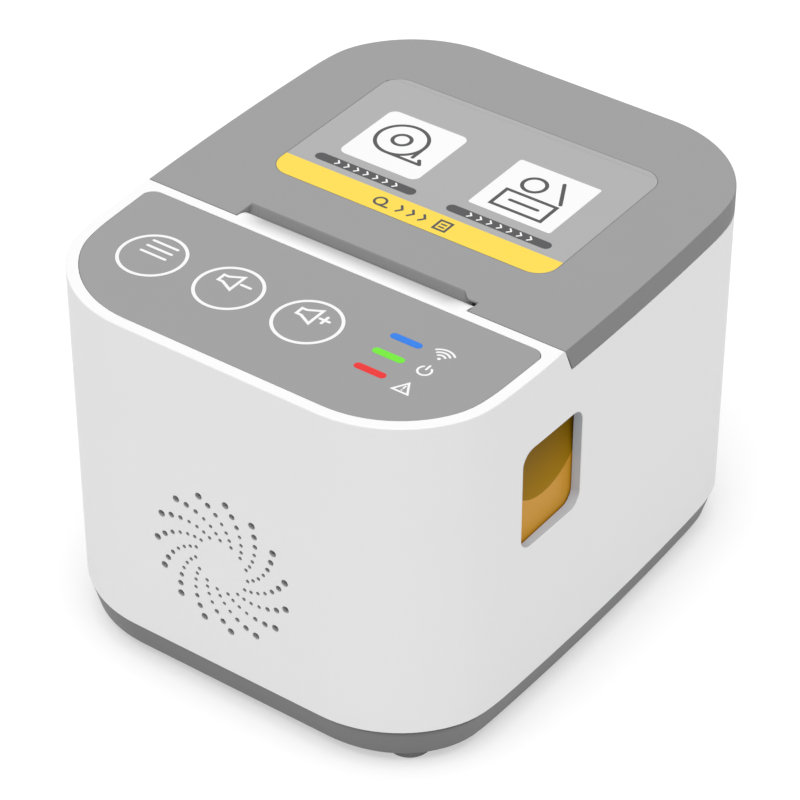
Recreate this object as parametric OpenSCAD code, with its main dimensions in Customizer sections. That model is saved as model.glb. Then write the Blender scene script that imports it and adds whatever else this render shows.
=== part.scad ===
// Desktop thermal receipt printer for 58 mm paper: boxy body, flip-up rear cover,
// key panel in front, speaker behind the front wall, release button in the right side.
// Millimetres. X to the right, Y to the rear, Z up, origin on the floor under the centre.

/* [Body] */
// Overall width
body_w = 110; // [108:1:120]
// Overall depth
body_d = 134; // [132:1:146]
// Overall height, feet included
body_h = 92; // [90:1:104]
// Radius of the four upright corners
corner_r = 29.5; // [26:0.5:31]
// Outward bow of each long side
side_bow = 0.8; // [0.3:0.1:1.2]
// Wall thickness of the housing
wall = 2.4; // [2:0.1:2.6]

/* [Base] */
// Height of the tapered base band
base_h = 7.9; // [6.5:0.1:8.5]
// Inward taper of the base at its bottom edge
base_taper = 2.7; // [2:0.1:3.2]
// Height of the feet under the base
foot_h = 2.8; // [2:0.1:3.5]
// Radius of a foot
foot_r = 5; // [4:0.1:5.2]
// Feet from the long sides and from the ends
foot_in = [15.6, 13.6];

/* [Deck] */
// Front face to the cover line
deck_d = 46.5; // [46:0.5:49]
// White rim around the panel
rim = 2.8; // [2.6:0.1:3.6]
// Thickness of the key panel
panel_t = 2; // [1.6:0.1:2.2]
// Thickness of the deck under the panel
deck_floor = 2.5; // [2:0.1:3]
// White strip between panel and cover
strip_d = 3; // [2.6:0.1:3.4]
// Radius of the panel's rear corners
panel_r = 3; // [2:0.5:6]

/* [Keys and lights] */
// Radius of a round key
key_r = 7.9; // [7:0.1:8.4]
// Key pitch
key_pitch = 20.6; // [19.5:0.1:21]
// First key, from the middle of the body
key_x = -35.3; // [-36:0.1:-34.5]
// Keys from the front face
key_y = 23.8; // [22:0.1:25]
// Key travel
key_travel = 0.5; // [0.3:0.1:0.6]
// Length of a light bar
light_l = 7.4; // [6:0.1:8]
// Width of a light bar
light_w = 1.6; // [1.2:0.1:2]
// Pitch of the light bars
light_pitch = 6.3; // [5.5:0.1:6.8]
// Light bars from the middle of the body
light_x = 26.3; // [25:0.1:27.5]

/* [Cover] */
// Height of the grey side band
band_h = 5.85; // [5.5:0.05:6.2]
// Backward slant of the band's front end
band_slant = 2.6; // [2:0.1:3]
// Thickness of the cover
cover_t = 2.4; // [2.2:0.1:2.6]
// Width of the paper slot
slot_w = 60.8; // [60:0.1:61]
// How far the cover is cut back at the slot
slot_cut = 5.5; // [5:0.1:6]
// Depth of the bevel at the slot
slot_drop = 2; // [1.6:0.1:2.1]
// Label width and length
label_size = [73.6, 47.7];
// Label from the front face
label_y = 65.4; // [63:0.1:68]

/* [Printing mechanism] */
// Radius of the rubber platen
platen_r = 5.5; // [5:0.1:5.8]
// Length of the rubber platen
platen_l = 58; // [56:0.5:58]
// Platen axis from the front face
platen_y = 57; // [56.8:0.1:57.2]
// Platen axis below the top
platen_drop = 12; // [11.8:0.1:12.4]
// Radius of the platen shaft
shaft_r = 2.5; // [2:0.1:2.8]
// Gear module
gear_m = 0.5; // [0.48:0.01:0.5]
// Teeth on the platen gear
platen_teeth = 24; // [22:2:24]
// Teeth on the idler gear
idler_teeth = 30; // [28:2:30]
// Teeth on the motor pinion
pinion_teeth = 12; // [12:1:13]

/* [Paper bin] */
// Inside width of the bin
bin_w = 61; // [60:0.5:62]
// Platen axis to the front of the bin
bin_gap = 8; // [7.6:0.2:9]
// Rear of the bin to the inside of the rear wall
bin_back = 6.6; // [6.2:0.2:9]
// Bin axis above the floor
bin_z = 57; // [56:0.5:60]

/* [Release button] */
// Width of the side opening
window_w = 21.3; // [20:0.1:22]
// Height of the side opening
window_h = 25.8; // [24:0.1:27]
// Opening centre from the front face
window_y = 43.2; // [42.4:0.1:43.8]
// Opening centre below the top
window_drop = 31.4; // [30.8:0.1:32.2]
// Travel of the button
button_travel = 2; // [1:0.1:2.2]

/* [Speaker] */
// Grille arms
grille_arms = 15; // [9:1:17]
// Holes in each arm
grille_rows = 7; // [4:1:7]
// Radius of the innermost ring of holes
grille_r = 7.05; // [6.5:0.05:7.5]
// Speaker axis below the top
speaker_drop = 52.4; // [50:0.1:54]
// Radius of the speaker
speaker_r = 20; // [19.5:0.1:21]

/* [Fits] */
// Gap between pieces that move against each other
move_gap = 0.3; // [0.25:0.05:0.4]
// Radial play of a shaft in its hole
run_gap = 0.05; // [0.02:0.01:0.08]
// Height of the seam between base and housing
seam_gap = 0.3; // [0.2:0.1:0.4]

/* [Hidden] */
$fn = 48;
front = -body_d/2;
top = body_h;
seam_z = foot_h + base_h;
deck_under = top - panel_t - deck_floor;
cover_y = front + deck_d;
band_z = top - band_h;
bow_r = (pow(body_d/2 - corner_r, 2) + pow(side_bow, 2))/(2*side_bow);
hinge_in = 4.2;
hinge_y = body_d/2 - hinge_in;
hinge_z = top - 9;
hinge_r = 1.5;
inner_x = body_w/2 - wall;
rear_in = body_d/2 - wall;
foot_at = [body_w/2 - foot_in[0], body_d/2 - foot_in[1]];
barrel_half = inner_x - 12;
lug_x = inner_x - 22.6;
lug_t = 4;
platen_at = [front + platen_y, top - platen_drop];
mesh_gap = 0.12;
idler_at = [platen_at[0], platen_at[1] - gear_m*(platen_teeth + idler_teeth)/2 - mesh_gap];
train_angle = 25;
pinion_gap = gear_m*(pinion_teeth + idler_teeth)/2 + mesh_gap;
pinion_at = [idler_at[0] + pinion_gap*sin(train_angle), idler_at[1] - pinion_gap*cos(train_angle)];
gear_x = -37;
gear_w = 2.8;
idler_turn = platen_teeth%2 == idler_teeth%2 ? 180/idler_teeth : 0;
tooth_step = 360/idler_teeth;
tooth_near = idler_turn + tooth_step*floor((train_angle - idler_turn)/tooth_step);
pinion_turn = train_angle + 180 + (train_angle - tooth_near)*idler_teeth/pinion_teeth + 180/pinion_teeth;
cheek_in = 37.5;
cheek_out = 40;
arm_in = 30.5;
arm_out = 33;
cheek_r = [arm_out + 2, arm_out + 4.5];
motor_end = inner_x - 2.1;
spring_seat = inner_x - 8.6;
push_x = inner_x - 5.9;
head_face = platen_at[0] - platen_r - move_gap;
sink_front = head_face - 4.6;
head_pin_at = [sink_front + 1.2, top - 28.5];
mech_wall = sink_front - 5.1;
flange_z = top - 9;
flange_t = 2.5;
board_z = top - 11;
board_t = 1.6;
key_top = top;
button_x = inner_x - move_gap;
button_t = 2;
window_at = [front + window_y, top - window_drop];
pivot_at = [inner_x - 7.2, window_at[1] + 8.6];
catch_x = inner_x - 9.6;
nose_x = catch_x + move_gap;
latch_y = [front + 49.8, front + 53.2];
bin_t = 2;
ledge_z = top - 9.2;
bin_front = platen_at[0] + bin_gap;
bin_rear = rear_in - bin_back;
bin_r = (bin_rear - bin_front)/2 - bin_t;
bin_at = [(bin_front + bin_rear)/2, bin_z];
boss_at = [for (x = [-1, 1], y = [front + 37, body_d/2 - 33]) [x*(inner_x - 6.8), y]];
boss_r = 3.6;
post_z = seam_z + 2;
main_board_z = 14;
main_board_x = inner_x - 12.6;
main_board_y = [front + 38, rear_in - 7.6];
stay_at = [for (x = [-1, 1], y = [main_board_y[0] + 7, main_board_y[1] - 11]) [x*(main_board_x - 4), y]];
rocker_at = [rear_in - 1.5, main_board_z + board_t + 7.5];
speaker_at = [0, front + wall, top - speaker_drop];
screw_r = 1.2;
key_spots = [for (k = [0:2]) [key_x + k*key_pitch, front + key_y]];
light_spots = [for (k = [-1:1]) [light_x, front + key_y + 0.4 + k*light_pitch]];
deck_screws = [[-22, mech_wall - 4.1], [22, mech_wall - 4.1]];
board_screws_at = [[-25, front + 13.5], [14, front + 13.5], [-25, front + 32], [16.4, front + 32]];
liner_y = [front + 67, hinge_y - 12.8];
cover_screws_at = [for (x = [-20, 20], y = [liner_y[0] + 9, liner_y[1] - 5]) [x, y]];

// Plan outline of the housing, moved inward by d
module plan(d = 0) {
    w = body_w/2 - d;
    l = body_d/2 - d;
    r = corner_r - d;
    intersection() {
        union() {
            square([2*w, 2*(l - r)], center = true);
            square([2*(w - r), 2*l], center = true);
            for (x = [-1, 1], y = [-1, 1])
                translate([x*(w - r), y*(l - r)]) circle(r, $fn = 96);
        }
        translate([body_w/2 - bow_r, 0]) circle(bow_r - d, $fn = 720);
        translate([bow_r - body_w/2, 0]) circle(bow_r - d, $fn = 720);
    }
}

module slab(z0, z1, d = 0) {
    translate([0, 0, z0]) linear_extrude(z1 - z0) plan(d);
}

// Plan outline that grows from inset d0 to inset d1
module taper(z0, z1, d0, d1) {
    grow = [(body_w - 2*d1)/(body_w - 2*d0), (body_d - 2*d1)/(body_d - 2*d0)];
    translate([0, 0, z0]) linear_extrude(z1 - z0, scale = grow, slices = 1, segments = 1) plan(d0);
}

module box(x, y, z) {
    translate([x[0], y[0], z[0]]) cube([x[1] - x[0], y[1] - y[0], z[1] - z[0]]);
}

// Side profile in Y and Z, drawn out along X
module along_x(x0, x1) {
    translate([x0, 0, 0]) rotate([90, 0, 90]) linear_extrude(x1 - x0) children();
}

module rod_x(x0, x1, at, r) {
    translate([x0, at[0], at[1]]) rotate([0, 90, 0]) cylinder(x1 - x0, r = r);
}

module rod_y(y0, y1, at, r) {
    translate([at[0], y0, at[1]]) rotate([-90, 0, 0]) cylinder(y1 - y0, r = r);
}

module post(at, z0, z1, r) {
    translate([at[0], at[1], z0]) cylinder(z1 - z0, r = r);
}

// Rectangle with four round corners
module soft_square(size, r) {
    square([size[0] - 2*r, size[1]], center = true);
    square([size[0], size[1] - 2*r], center = true);
    for (x = [-1, 1], y = [-1, 1])
        translate([x*(size[0]/2 - r), y*(size[1]/2 - r)]) circle(r);
}

// Bar with round ends
module bar_shape(l, w) {
    square([l - w, w], center = true);
    for (x = [-1, 1]) translate([x*(l - w)/2, 0]) circle(w/2, $fn = 24);
}

// Pan-head screw, head at the bottom
module screw(at, z0, z1, r, head_r, head_h) {
    difference() {
        union() {
            post(at, z0, z0 + head_h, head_r);
            post(at, z0 + head_h, z1, r);
        }
        translate([at[0], at[1], z0 - 0.1]) {
            box([-head_r*0.7, head_r*0.7], [-0.2, 0.2], [0, head_h*0.5]);
            box([-0.2, 0.2], [-head_r*0.7, head_r*0.7], [0, head_h*0.5]);
        }
    }
}

// Flat outline of a spur gear with a tooth on its own X axis
module gear_shape(teeth) {
    p = 360/teeth;
    root = gear_m*(teeth/2 - 1.25);
    mid = gear_m*teeth/2;
    tip = gear_m*(teeth/2 + 0.85);
    steps = [[root, -0.29], [mid, -0.19], [tip, -0.1], [tip, 0.1], [mid, 0.19], [root, 0.29]];
    polygon([for (k = [0:teeth - 1], s = steps) s[0]*[cos((k + s[1])*p), sin((k + s[1])*p)]]);
}

module spur(teeth, at, turn, bore) {
    translate([gear_x, at[0], at[1]]) rotate([0, 90, 0]) rotate([0, 0, turn])
        linear_extrude(gear_w) difference() {
            gear_shape(teeth);
            circle(bore);
        }
}

// Open coil of round wire, standing on Z, its ends level with both faces
module coil(r, wire, turns, h) {
    sides = 6;
    steps = 16*turns;
    rise = (h - 2*wire)/steps;
    points = [for (i = [0:steps], j = [0:sides - 1])
        let (a = 360*i/16, b = 360*j/sides, q = r + wire*cos(b))
        [q*cos(a), q*sin(a), wire + rise*i + wire*sin(b)]];
    rings = [for (i = [0:steps - 1], j = [0:sides - 1])
        [i*sides + j, i*sides + (j + 1)%sides, (i + 1)*sides + (j + 1)%sides, (i + 1)*sides + j]];
    first = [for (j = [sides - 1:-1:0]) j];
    last = [for (j = [0:sides - 1]) steps*sides + j];
    polyhedron(points, concat([first], rings, [last]));
}

// Everything the cover owns above and behind its parting line
module cover_space(gap) {
    y0 = cover_y - gap;
    z1 = band_z - gap;
    along_x(-body_w, body_w)
        polygon([[y0, top + 1], [y0, top], [y0 + band_slant, z1], [body_d, z1], [body_d, top + 1]]);
}

module base_tray() color("DimGray") {
    lip = wall + 0.2;
    difference() {
        union() {
            taper(foot_h, seam_z - seam_gap, base_taper, 0);
            difference() {
                slab(seam_z - seam_gap, seam_z + 1.6, lip);
                slab(seam_z - 1, seam_z + 2, lip + 1.2);
            }
        }
        slab(foot_h + 2.4, seam_z + 3, lip + 1.2);
        for (x = [-1, 1], y = [-1, 1])
            post([x*foot_at[0], y*foot_at[1]], foot_h - 1, foot_h + 1, foot_r);
        for (b = boss_at) {
            post(b, 0, post_z + 1, screw_r + 0.3);
            post(b, 0, foot_h + 1.6, 2.6);
        }
        for (x = [-24:8:24])
            box([x - 1.2, x + 1.2], [-14, 22], [0, seam_z]);
    }
    for (b = boss_at) difference() {
        post(b, foot_h + 2.4, post_z, boss_r);
        post(b, 0, post_z + 1, screw_r + 0.3);
    }
    for (s = stay_at) difference() {
        post(s, foot_h + 2.4, main_board_z, 3);
        post(s, foot_h + 4, main_board_z + 1, 0.9);
    }
    for (x = [-29, 29])
        box([x - 0.8, x + 0.8], [front + 27, body_d/2 - 17], [foot_h + 2.4, foot_h + 5]);
}

module rubber_feet() color("Black")
    for (x = [-1, 1], y = [-1, 1]) translate([x*foot_at[0], y*foot_at[1], 0])
        rotate_extrude() polygon([[0, 0], [foot_r - 0.5, 0], [foot_r, 0.5], [foot_r, foot_h + 1],
            [0, foot_h + 1]]);

module base_screws() color("Silver")
    for (b = boss_at) screw(b, foot_h + 0.2, post_z + 9, screw_r, 2.4, 1.4);

// Round hole pattern of the speaker grille: each arm curls one step on per ring
module grille() {
    for (a = [0:grille_arms - 1], k = [0:grille_rows - 1]) {
        r = grille_r + 1.4*k + 0.053*k*k;
        turn = 138.4 + 7*k + a*360/grille_arms;
        size = k < 4 ? 0.5 : 0.5 + 0.14*(k - 3);
        rod_y(front - 1, front + wall + 1, [speaker_at[0] + r*cos(turn), speaker_at[2] + r*sin(turn)], size);
    }
}

module main_shell() color("White") {
    difference() {
        union() {
            difference() {
                slab(seam_z, top);
                slab(seam_z - 1, deck_under, wall);
                cover_space(move_gap);
            }
            slot_lip();
            shell_ribs();
        }
        translate([0, 0, top - panel_t]) linear_extrude(panel_t + 1) panel_shape(0.1);
        for (k = key_spots) post(k, 0, top, 4.4);
        for (l = light_spots)
            translate([l[0], l[1], deck_under - 1]) linear_extrude(panel_t + deck_floor)
                bar_shape(light_l, light_w);
        grille();
        rod_y(front + 1.2, front + wall + 0.1, [speaker_at[0], speaker_at[2]], 17.6);
        along_x(inner_x - 1, body_w/2 + 1)
            translate(window_at) soft_square([window_w, window_h], 3.5);
        button_seat();
        box([-barrel_half - 0.7, barrel_half + 0.7], [hinge_y - 4.7, body_d],
            [hinge_z - hinge_in - move_gap, top]);
        rear_openings(0.1);
        for (b = boss_at) post(b, post_z - 1, post_z + 14, screw_r);
        for (d = deck_screws) post(d, flange_z, deck_under + 1, 0.8);
        for (b = board_screws_at) post(b, board_z, deck_under + 1, 0.8);
    }
    for (s = [-1, 1]) hinge_lug(s);
}

// Flat seat on the inside of the bowed wall, for the button to slide against
module button_seat() {
    y = window_w/2 + 1.2 + move_gap;
    z = window_h/2 + 1.2 + move_gap;
    box([button_x - 6, button_x + move_gap], [window_at[0] - y, window_at[0] + y],
        [window_at[1] - z, window_at[1] + z]);
}

// Rounded lip that the paper leaves over, in front of the slot
module slot_lip() {
    lip_r = 6;
    tip = cover_y + slot_cut - 1.7;
    y0 = cover_y - move_gap;
    intersection() {
        box([-slot_w/2 + 0.3, slot_w/2 - 0.3], [cover_y - strip_d, tip], [deck_under, top]);
        union() {
            box([-slot_w, slot_w], [front, y0], [0, top]);
            rod_x(-slot_w, slot_w, [y0, top - lip_r], lip_r, $fn = 120);
            box([-slot_w, slot_w], [y0, body_d], [0, top - lip_r]);
        }
    }
}

// Screw bosses, ledges and guides inside the housing
module shell_ribs() {
    for (b = boss_at) {
        s = sign(b[0]);
        post(b, post_z, post_z + 24, boss_r);
        box([min(b[0], s*(inner_x + 0.2)), max(b[0], s*(inner_x + 0.2))],
            [b[1] - 1, b[1] + 1], [post_z, post_z + 24]);
    }
    difference() {
        slab(ledge_z - 2.5, ledge_z, wall - 0.2);
        slab(ledge_z - 3, ledge_z + 1, wall + 3);
        box([-body_w, body_w], [-body_d, front + 64.5], [0, top]);
        box([10.6 - inner_x, inner_x - 10.6], [20, body_d], [0, top]);
    }
    for (d = deck_screws) post(d, flange_z + flange_t, deck_under + 0.2, 2.6);
    for (b = board_screws_at) post(b, board_z + board_t, deck_under + 0.2, 2.4);
    translate(speaker_at) rotate([-90, 0, 0]) difference() {
        translate([0, 0, -0.2]) cylinder(4.2, r = speaker_r + 2);
        translate([0, 0, -1]) cylinder(7, r = speaker_r);
    }
    for (s = [-1, 1]) {
        z = window_at[1] + s*(window_h/2 + 1.2 + move_gap + 0.75);
        box([button_x - 5.5, inner_x + 0.2], [window_at[0] - 9, latch_y[0] - 0.8], [z - 0.75, z + 0.75]);
    }
}

// Ear that carries the hinge pin, on a web down the rear wall
module hinge_lug(s) {
    x = s*lug_x;
    web = hinge_z - 14;
    intersection() {
        difference() {
            union() {
                rod_x(x - lug_t/2, x + lug_t/2, [hinge_y, hinge_z], 3.6);
                box([x - lug_t/2, x + lug_t/2], [hinge_y - 3.6, hinge_y + 3.6], [web, hinge_z]);
                box([x - lug_t/2, x + lug_t/2], [hinge_y - 3.6, body_d/2], [web, hinge_z - hinge_in - 0.8]);
            }
            rod_x(x - lug_t, x + lug_t, [hinge_y, hinge_z], hinge_r);
        }
        slab(0, top, wall/2);
    }
}

module panel_shape(gap) {
    rear = cover_y - strip_d + gap;
    half = body_w/2 - rim - 0.3 + gap;
    r = panel_r;
    intersection() {
        plan(rim - gap);
        union() {
            translate([-body_w/2, front]) square([body_w, rear - r - front]);
            translate([r - half, front]) square([2*(half - r), rear - front]);
            for (x = [-1, 1]) translate([x*(half - r), rear - r]) circle(r);
        }
    }
}

module control_panel() color("DarkGray")
    difference() {
        translate([0, 0, top - panel_t]) linear_extrude(panel_t) panel_shape(0);
        for (k = key_spots) post(k, 0, top + 1, key_r + 0.25);
        for (l = light_spots)
            translate([l[0], l[1], top - panel_t - 1]) linear_extrude(panel_t + 2)
                bar_shape(light_l, light_w);
    }

// Cap with a stem through the deck and a snap flange under it
module key_cap(k) {
    at = key_spots[k];
    difference() {
        union() {
            post(at, key_top - panel_t + key_travel + 0.2, key_top, key_r);
            post(at, deck_under - 1.2, key_top - panel_t + key_travel + 0.2, 4.1);
            post(at, deck_under - 1.2, deck_under - move_gap, 4.8);
        }
        translate([at[0], at[1], 0]) for (a = [0, 90]) rotate([0, 0, a])
            box([-6, 6], [-0.4, 0.4], [deck_under - 2, deck_under + 1.5]);
    }
}

module key_settings() color("DarkGray") key_cap(0);

module key_volume_down() color("DarkGray") key_cap(1);

module key_volume_up() color("DarkGray") key_cap(2);

module key_board() color("DarkGreen") {
    left = inner_x - 7.6;
    near = front + 10.75;
    far = mech_wall - 6.4;
    difference() {
        translate([(33 - left)/2, (near + far)/2, board_z]) linear_extrude(board_t)
            soft_square([33 + left, far - near], 2);
        for (b = board_screws_at) post(b, 0, top, 1.2);
    }
}

module board_screws() color("Silver")
    for (b = board_screws_at) screw(b, board_z - 1.2, deck_under, 0.8, 1.9, 1.2);

module key_switches() color("Black")
    for (k = key_spots) translate([k[0], k[1], board_z + board_t]) {
        box([-3, 3], [-3, 3], [0, 2.2]);
        cylinder(deck_under - 1.2 - key_travel - 0.1 - board_z - board_t, r = 1.7);
    }

module led_chips() color("White")
    for (l = light_spots) translate([l[0], l[1], board_z + board_t])
        box([-1.6, 1.6], [-0.8, 0.8], [0, 1]);

module light_pipe(k) {
    at = light_spots[k];
    translate([at[0], at[1], 0]) {
        translate([0, 0, deck_under]) linear_extrude(panel_t + deck_floor) bar_shape(light_l, light_w);
        translate([0, 0, deck_under - 1]) linear_extrude(1) bar_shape(light_l + 1.8, light_w + 1.8);
        box([-1.8, 1.8], [-0.9, 0.9], [board_z + board_t + 1, deck_under - 1]);
    }
}

module light_pipe_network() color("DodgerBlue") light_pipe(2);

module light_pipe_power() color("LimeGreen") light_pipe(1);

module light_pipe_status() color("Red") light_pipe(0);

// Basket with four windows, flange against the front wall
module speaker_frame() color("DimGray")
    translate(speaker_at) rotate([-90, 0, 0]) difference() {
        rotate_extrude($fn = 64) polygon([[17, 0], [speaker_r, 0], [speaker_r, 1.5], [18.2, 1.5], [12, 9],
            [12, 10], [0, 10], [0, 8.6], [11, 8.6], [17, 1.5]]);
        for (a = [45:90:315]) rotate([0, 0, a]) box([13.2, 17], [-5, 5], [2.4, 7.6]);
    }

module speaker_cone() color("Black")
    translate(speaker_at) rotate([-90, 0, 0])
        rotate_extrude($fn = 64) polygon([[0, 5.6], [5, 5.1], [5.6, 5.5], [14, 1.1], [15.2, 0.5], [16.2, 1.1],
            [17, 0.6], [17, 1.2], [16.1, 1.7], [15.1, 1.1], [14.2, 1.7], [6, 6.2], [6, 8.6],
                [5, 8.6], [5, 6.2], [0, 6.4]]);

module speaker_magnet() color("Silver")
    translate(speaker_at) rotate([-90, 0, 0])
        rotate_extrude($fn = 64) polygon([[0, 10], [12, 10], [12, 11.2], [11, 11.2], [11, 15.2], [12, 15.2],
            [12, 16.4], [0, 16.4]]);

// Carrier of the printing mechanism, hung from the deck
module mech_frame() color("DimGray")
    difference() {
        union() {
            box([-cheek_out, cheek_r[1]], [mech_wall - 6.6, mech_wall], [flange_z, flange_z + flange_t]);
            box([-cheek_out, cheek_r[1]], [mech_wall - 2, mech_wall], [top - 36, flange_z + flange_t]);
            along_x(-cheek_out, -cheek_in) cheek_left();
            along_x(cheek_r[0], cheek_r[1]) cheek_right();
            box([-arm_out, cheek_r[0] + 1], [platen_at[0] - 3, bin_front], [top - 26, top - 24.4]);
            box([-arm_out, cheek_r[0] + 1], [mech_wall - 1, bin_front], [top - 36, top - 34]);
            box([-arm_out, -arm_out + 2], [mech_wall - 1, bin_front], [top - 36, top - 24.4]);
            for (x = [-12, 12]) box([x - 1, x + 1], [platen_at[0] - 3, bin_front], [top - 36, top - 25]);
            for (y = [latch_y[0] - 2, latch_y[1] + move_gap])
                along_x(cheek_r[1] - 0.5, pivot_at[0] + 2.6)
                    translate([y, pivot_at[1] - 3.5]) square([1.7, 7]);
            box([spring_seat - 2, spring_seat], [window_at[0] - 6, mech_wall - 1],
                [window_at[1] - 5, window_at[1] + 5]);
            box([cheek_r[0], spring_seat], [mech_wall - 2, mech_wall], [window_at[1] - 5, window_at[1] + 5]);
        }
        for (d = deck_screws) post(d, 0, top, 1.2);
        rod_x(-cheek_out - 1, cheek_r[1] + 1, head_pin_at, 1);
        rod_x(-cheek_out - 1, -cheek_in + 1, idler_at, 1.5);
        rod_x(-cheek_out - 1, -cheek_in + 1, pinion_at, 4.5);
        for (a = [0, 180]) rod_x(-cheek_out - 1, -cheek_in + 1, motor_ear(a), 1);
        rod_y(latch_y[0] - 4, latch_y[1] + 4, pivot_at, 1);
        box([-20, 20], [mech_wall - 3, mech_wall + 1], [top - 32, top - 21]);
    }

function motor_ear(a) = pinion_at + 12.5*[cos(a), sin(a)];

module cheek_left()
    polygon([[mech_wall - 2, flange_z + flange_t], [mech_wall + 6, flange_z + flange_t],
        [platen_at[0] - 8, top - 22],
        [pinion_at[0] + 15, top - 24], [pinion_at[0] + 15, pinion_at[1] - 8],
            [pinion_at[0] - 8, pinion_at[1] - 8],
        [mech_wall - 2, top - 38]]);

module cheek_right()
    polygon([[mech_wall - 2, flange_z + flange_t], [mech_wall + 4, flange_z + flange_t],
        [platen_at[0] - 9, top - 18],
        [bin_front, top - 22], [bin_front, top - 36], [mech_wall - 2, top - 38]]);

module mech_screws() color("Silver")
    for (d = deck_screws) screw(d, flange_z - 1.2, deck_under + 0.8, 0.8, 1.9, 1.2);

// Ceramic strip with its raised heating line, on the heat sink
module print_head() color("Ivory") {
    box([-platen_l/2, platen_l/2], [head_face - 1.4, head_face - 0.2],
        [platen_at[1] - 11, platen_at[1] + 5.6]);
    box([-platen_l/2 + 2, platen_l/2 - 2], [head_face - 0.2, head_face],
        [platen_at[1] - 1, platen_at[1] + 1]);
}

module heat_sink() color("LightGray") {
    difference() {
        union() {
            box([-platen_l/2, platen_l/2], [sink_front, head_face - 1.4],
                [head_pin_at[1] - 2, platen_at[1] + 5.6]);
            rod_x(-platen_l/2, platen_l/2, head_pin_at, 2.2);
        }
        rod_x(-platen_l, platen_l, head_pin_at, 1 + run_gap);
        for (x = [-24:4:24])
            if (abs(abs(x) - 14) > 3)
                box([x - 1, x + 1], [sink_front - 1, sink_front + 1.6], [head_pin_at[1] + 6, top]);
    }
}

module head_pin() color("Silver") rod_x(-cheek_out - 1.2, cheek_r[1] + 0.6, head_pin_at, 1);

module head_springs() color("Silver")
    for (x = [-14, 14]) translate([x, mech_wall, platen_at[1] - 2]) rotate([-90, 0, 0])
        coil(2, 0.25, 4, sink_front - mech_wall);

module stepper_motor() color("Gray")
    difference() {
        union() {
            rod_x(-motor_end, -cheek_out - 1, pinion_at, 10);
            rod_x(-cheek_out - 1, -cheek_out, pinion_at, 10);
            rod_x(-cheek_out, -cheek_in + 0.2, pinion_at, 3.4);
            translate([-cheek_out - 1, pinion_at[0], pinion_at[1]]) rotate([90, 0, 90])
                linear_extrude(1) bar_shape(30, 5);
        }
        rod_x(3.5 - motor_end, 0, pinion_at, 1 + run_gap);
        for (a = [0, 180]) rod_x(-cheek_out - 2, -cheek_out + 1, motor_ear(a), 1);
    }

module motor_screws() color("Silver")
    for (a = [0, 180]) {
        rod_x(-cheek_out - 2.2, -cheek_out - 1, motor_ear(a), 1.9);
        rod_x(-cheek_out - 1, -cheek_in + 0.4, motor_ear(a), 1);
    }

module motor_shaft() color("Silver") rod_x(3.7 - motor_end, gear_x + gear_w + 0.8, pinion_at, 1);

module motor_pinion() color("Goldenrod") spur(pinion_teeth, pinion_at, pinion_turn, 1);

module idler_gear() color("White") spur(idler_teeth, idler_at, idler_turn, 1.5 + run_gap);

module idler_pin() color("Silver") {
    rod_x(-cheek_out, gear_x + gear_w + 0.4, idler_at, 1.5);
    rod_x(gear_x + gear_w + 0.4, gear_x + gear_w + 0.9, idler_at, 2.4);
}

module paper_sensor() color("Black") {
    z = top - 24.4;
    difference() {
        box([-4, 4], [platen_at[0] + 2, platen_at[0] + 5.6], [z, z + 1.8]);
        for (x = [-2, 2]) post([x, platen_at[0] + 3.8], z + 1, z + 3, 1);
    }
}

module platen_rubber() color("Black")
    difference() {
        rod_x(-platen_l/2, platen_l/2, platen_at, platen_r);
        rod_x(-platen_l, platen_l, platen_at, shaft_r);
    }

module platen_shaft() color("Silver") rod_x(gear_x - 0.1, arm_out + 1.6, platen_at, shaft_r);

module platen_gear() color("White") spur(platen_teeth, platen_at, 0, shaft_r);

module platen_bushes() color("Goldenrod")
    for (s = [-1, 1]) difference() {
        union() {
            rod_x(s > 0 ? arm_in : -arm_out, s > 0 ? arm_out : -arm_in, platen_at, 4);
            rod_x(s > 0 ? arm_in - 0.8 : -arm_in, s > 0 ? arm_in : -arm_in + 0.8, platen_at, 5);
        }
        rod_x(-body_w, body_w, platen_at, shaft_r + run_gap);
    }

module cover_shell() color("Gray")
    difference() {
        union() {
            intersection() {
                union() {
                    slab(top - cover_t, top);
                    difference() {
                        slab(band_z, top - cover_t);
                        slab(band_z - 1, top - cover_t + 1, cover_t);
                    }
                }
                cover_space(0);
            }
            intersection() {
                slab(hinge_z - 9, top);
                union() {
                    rod_x(-barrel_half, barrel_half, [hinge_y, hinge_z], hinge_in);
                    box([-barrel_half, barrel_half], [hinge_y, body_d/2], [hinge_z, top - cover_t]);
                }
            }
            for (c = cover_screws_at) post(c, top - 5, top - cover_t, 2.6);
            for (x = [14.6 - inner_x, -12.7, 12.7, inner_x - 14.6])
                box([x - 0.7, x + 0.7], [front + 66, hinge_y - 16], [top - 4.2, top - cover_t]);
        }
        along_x(-slot_w/2, slot_w/2) slot_shape();
        for (s = [-1, 1]) translate([s*(slot_w/2 - 1), 0, 0])
            box([-1, 1], [cover_y, cover_y + slot_cut - 0.5], [top - cover_t - 1, top + 1]);
        for (s = [-1, 1])
            box([s*lug_x - lug_t/2 - move_gap, s*lug_x + lug_t/2 + move_gap],
                [hinge_y - 5, body_d], [hinge_z - 6, hinge_z + 4.6]);
        rod_x(-body_w, body_w, [hinge_y, hinge_z], hinge_r + run_gap);
        for (c = cover_screws_at) post(c, top - 6, top - 1.4, 0.8);
        translate([0, front + label_y + label_size[1]/2, top - 0.25]) linear_extrude(1)
            soft_square(label_size, 5);
    }

// Bevel that opens the paper slot in the cover's front edge
module slot_shape() {
    y0 = cover_y + slot_cut;
    polygon([[cover_y - 1, top + 1], [y0, top + 1], [y0, top], [y0 - 1.3, top - slot_drop],
        [y0 - 1.3, top - cover_t - 1], [cover_y - 1, top - cover_t - 1]]);
}

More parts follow.
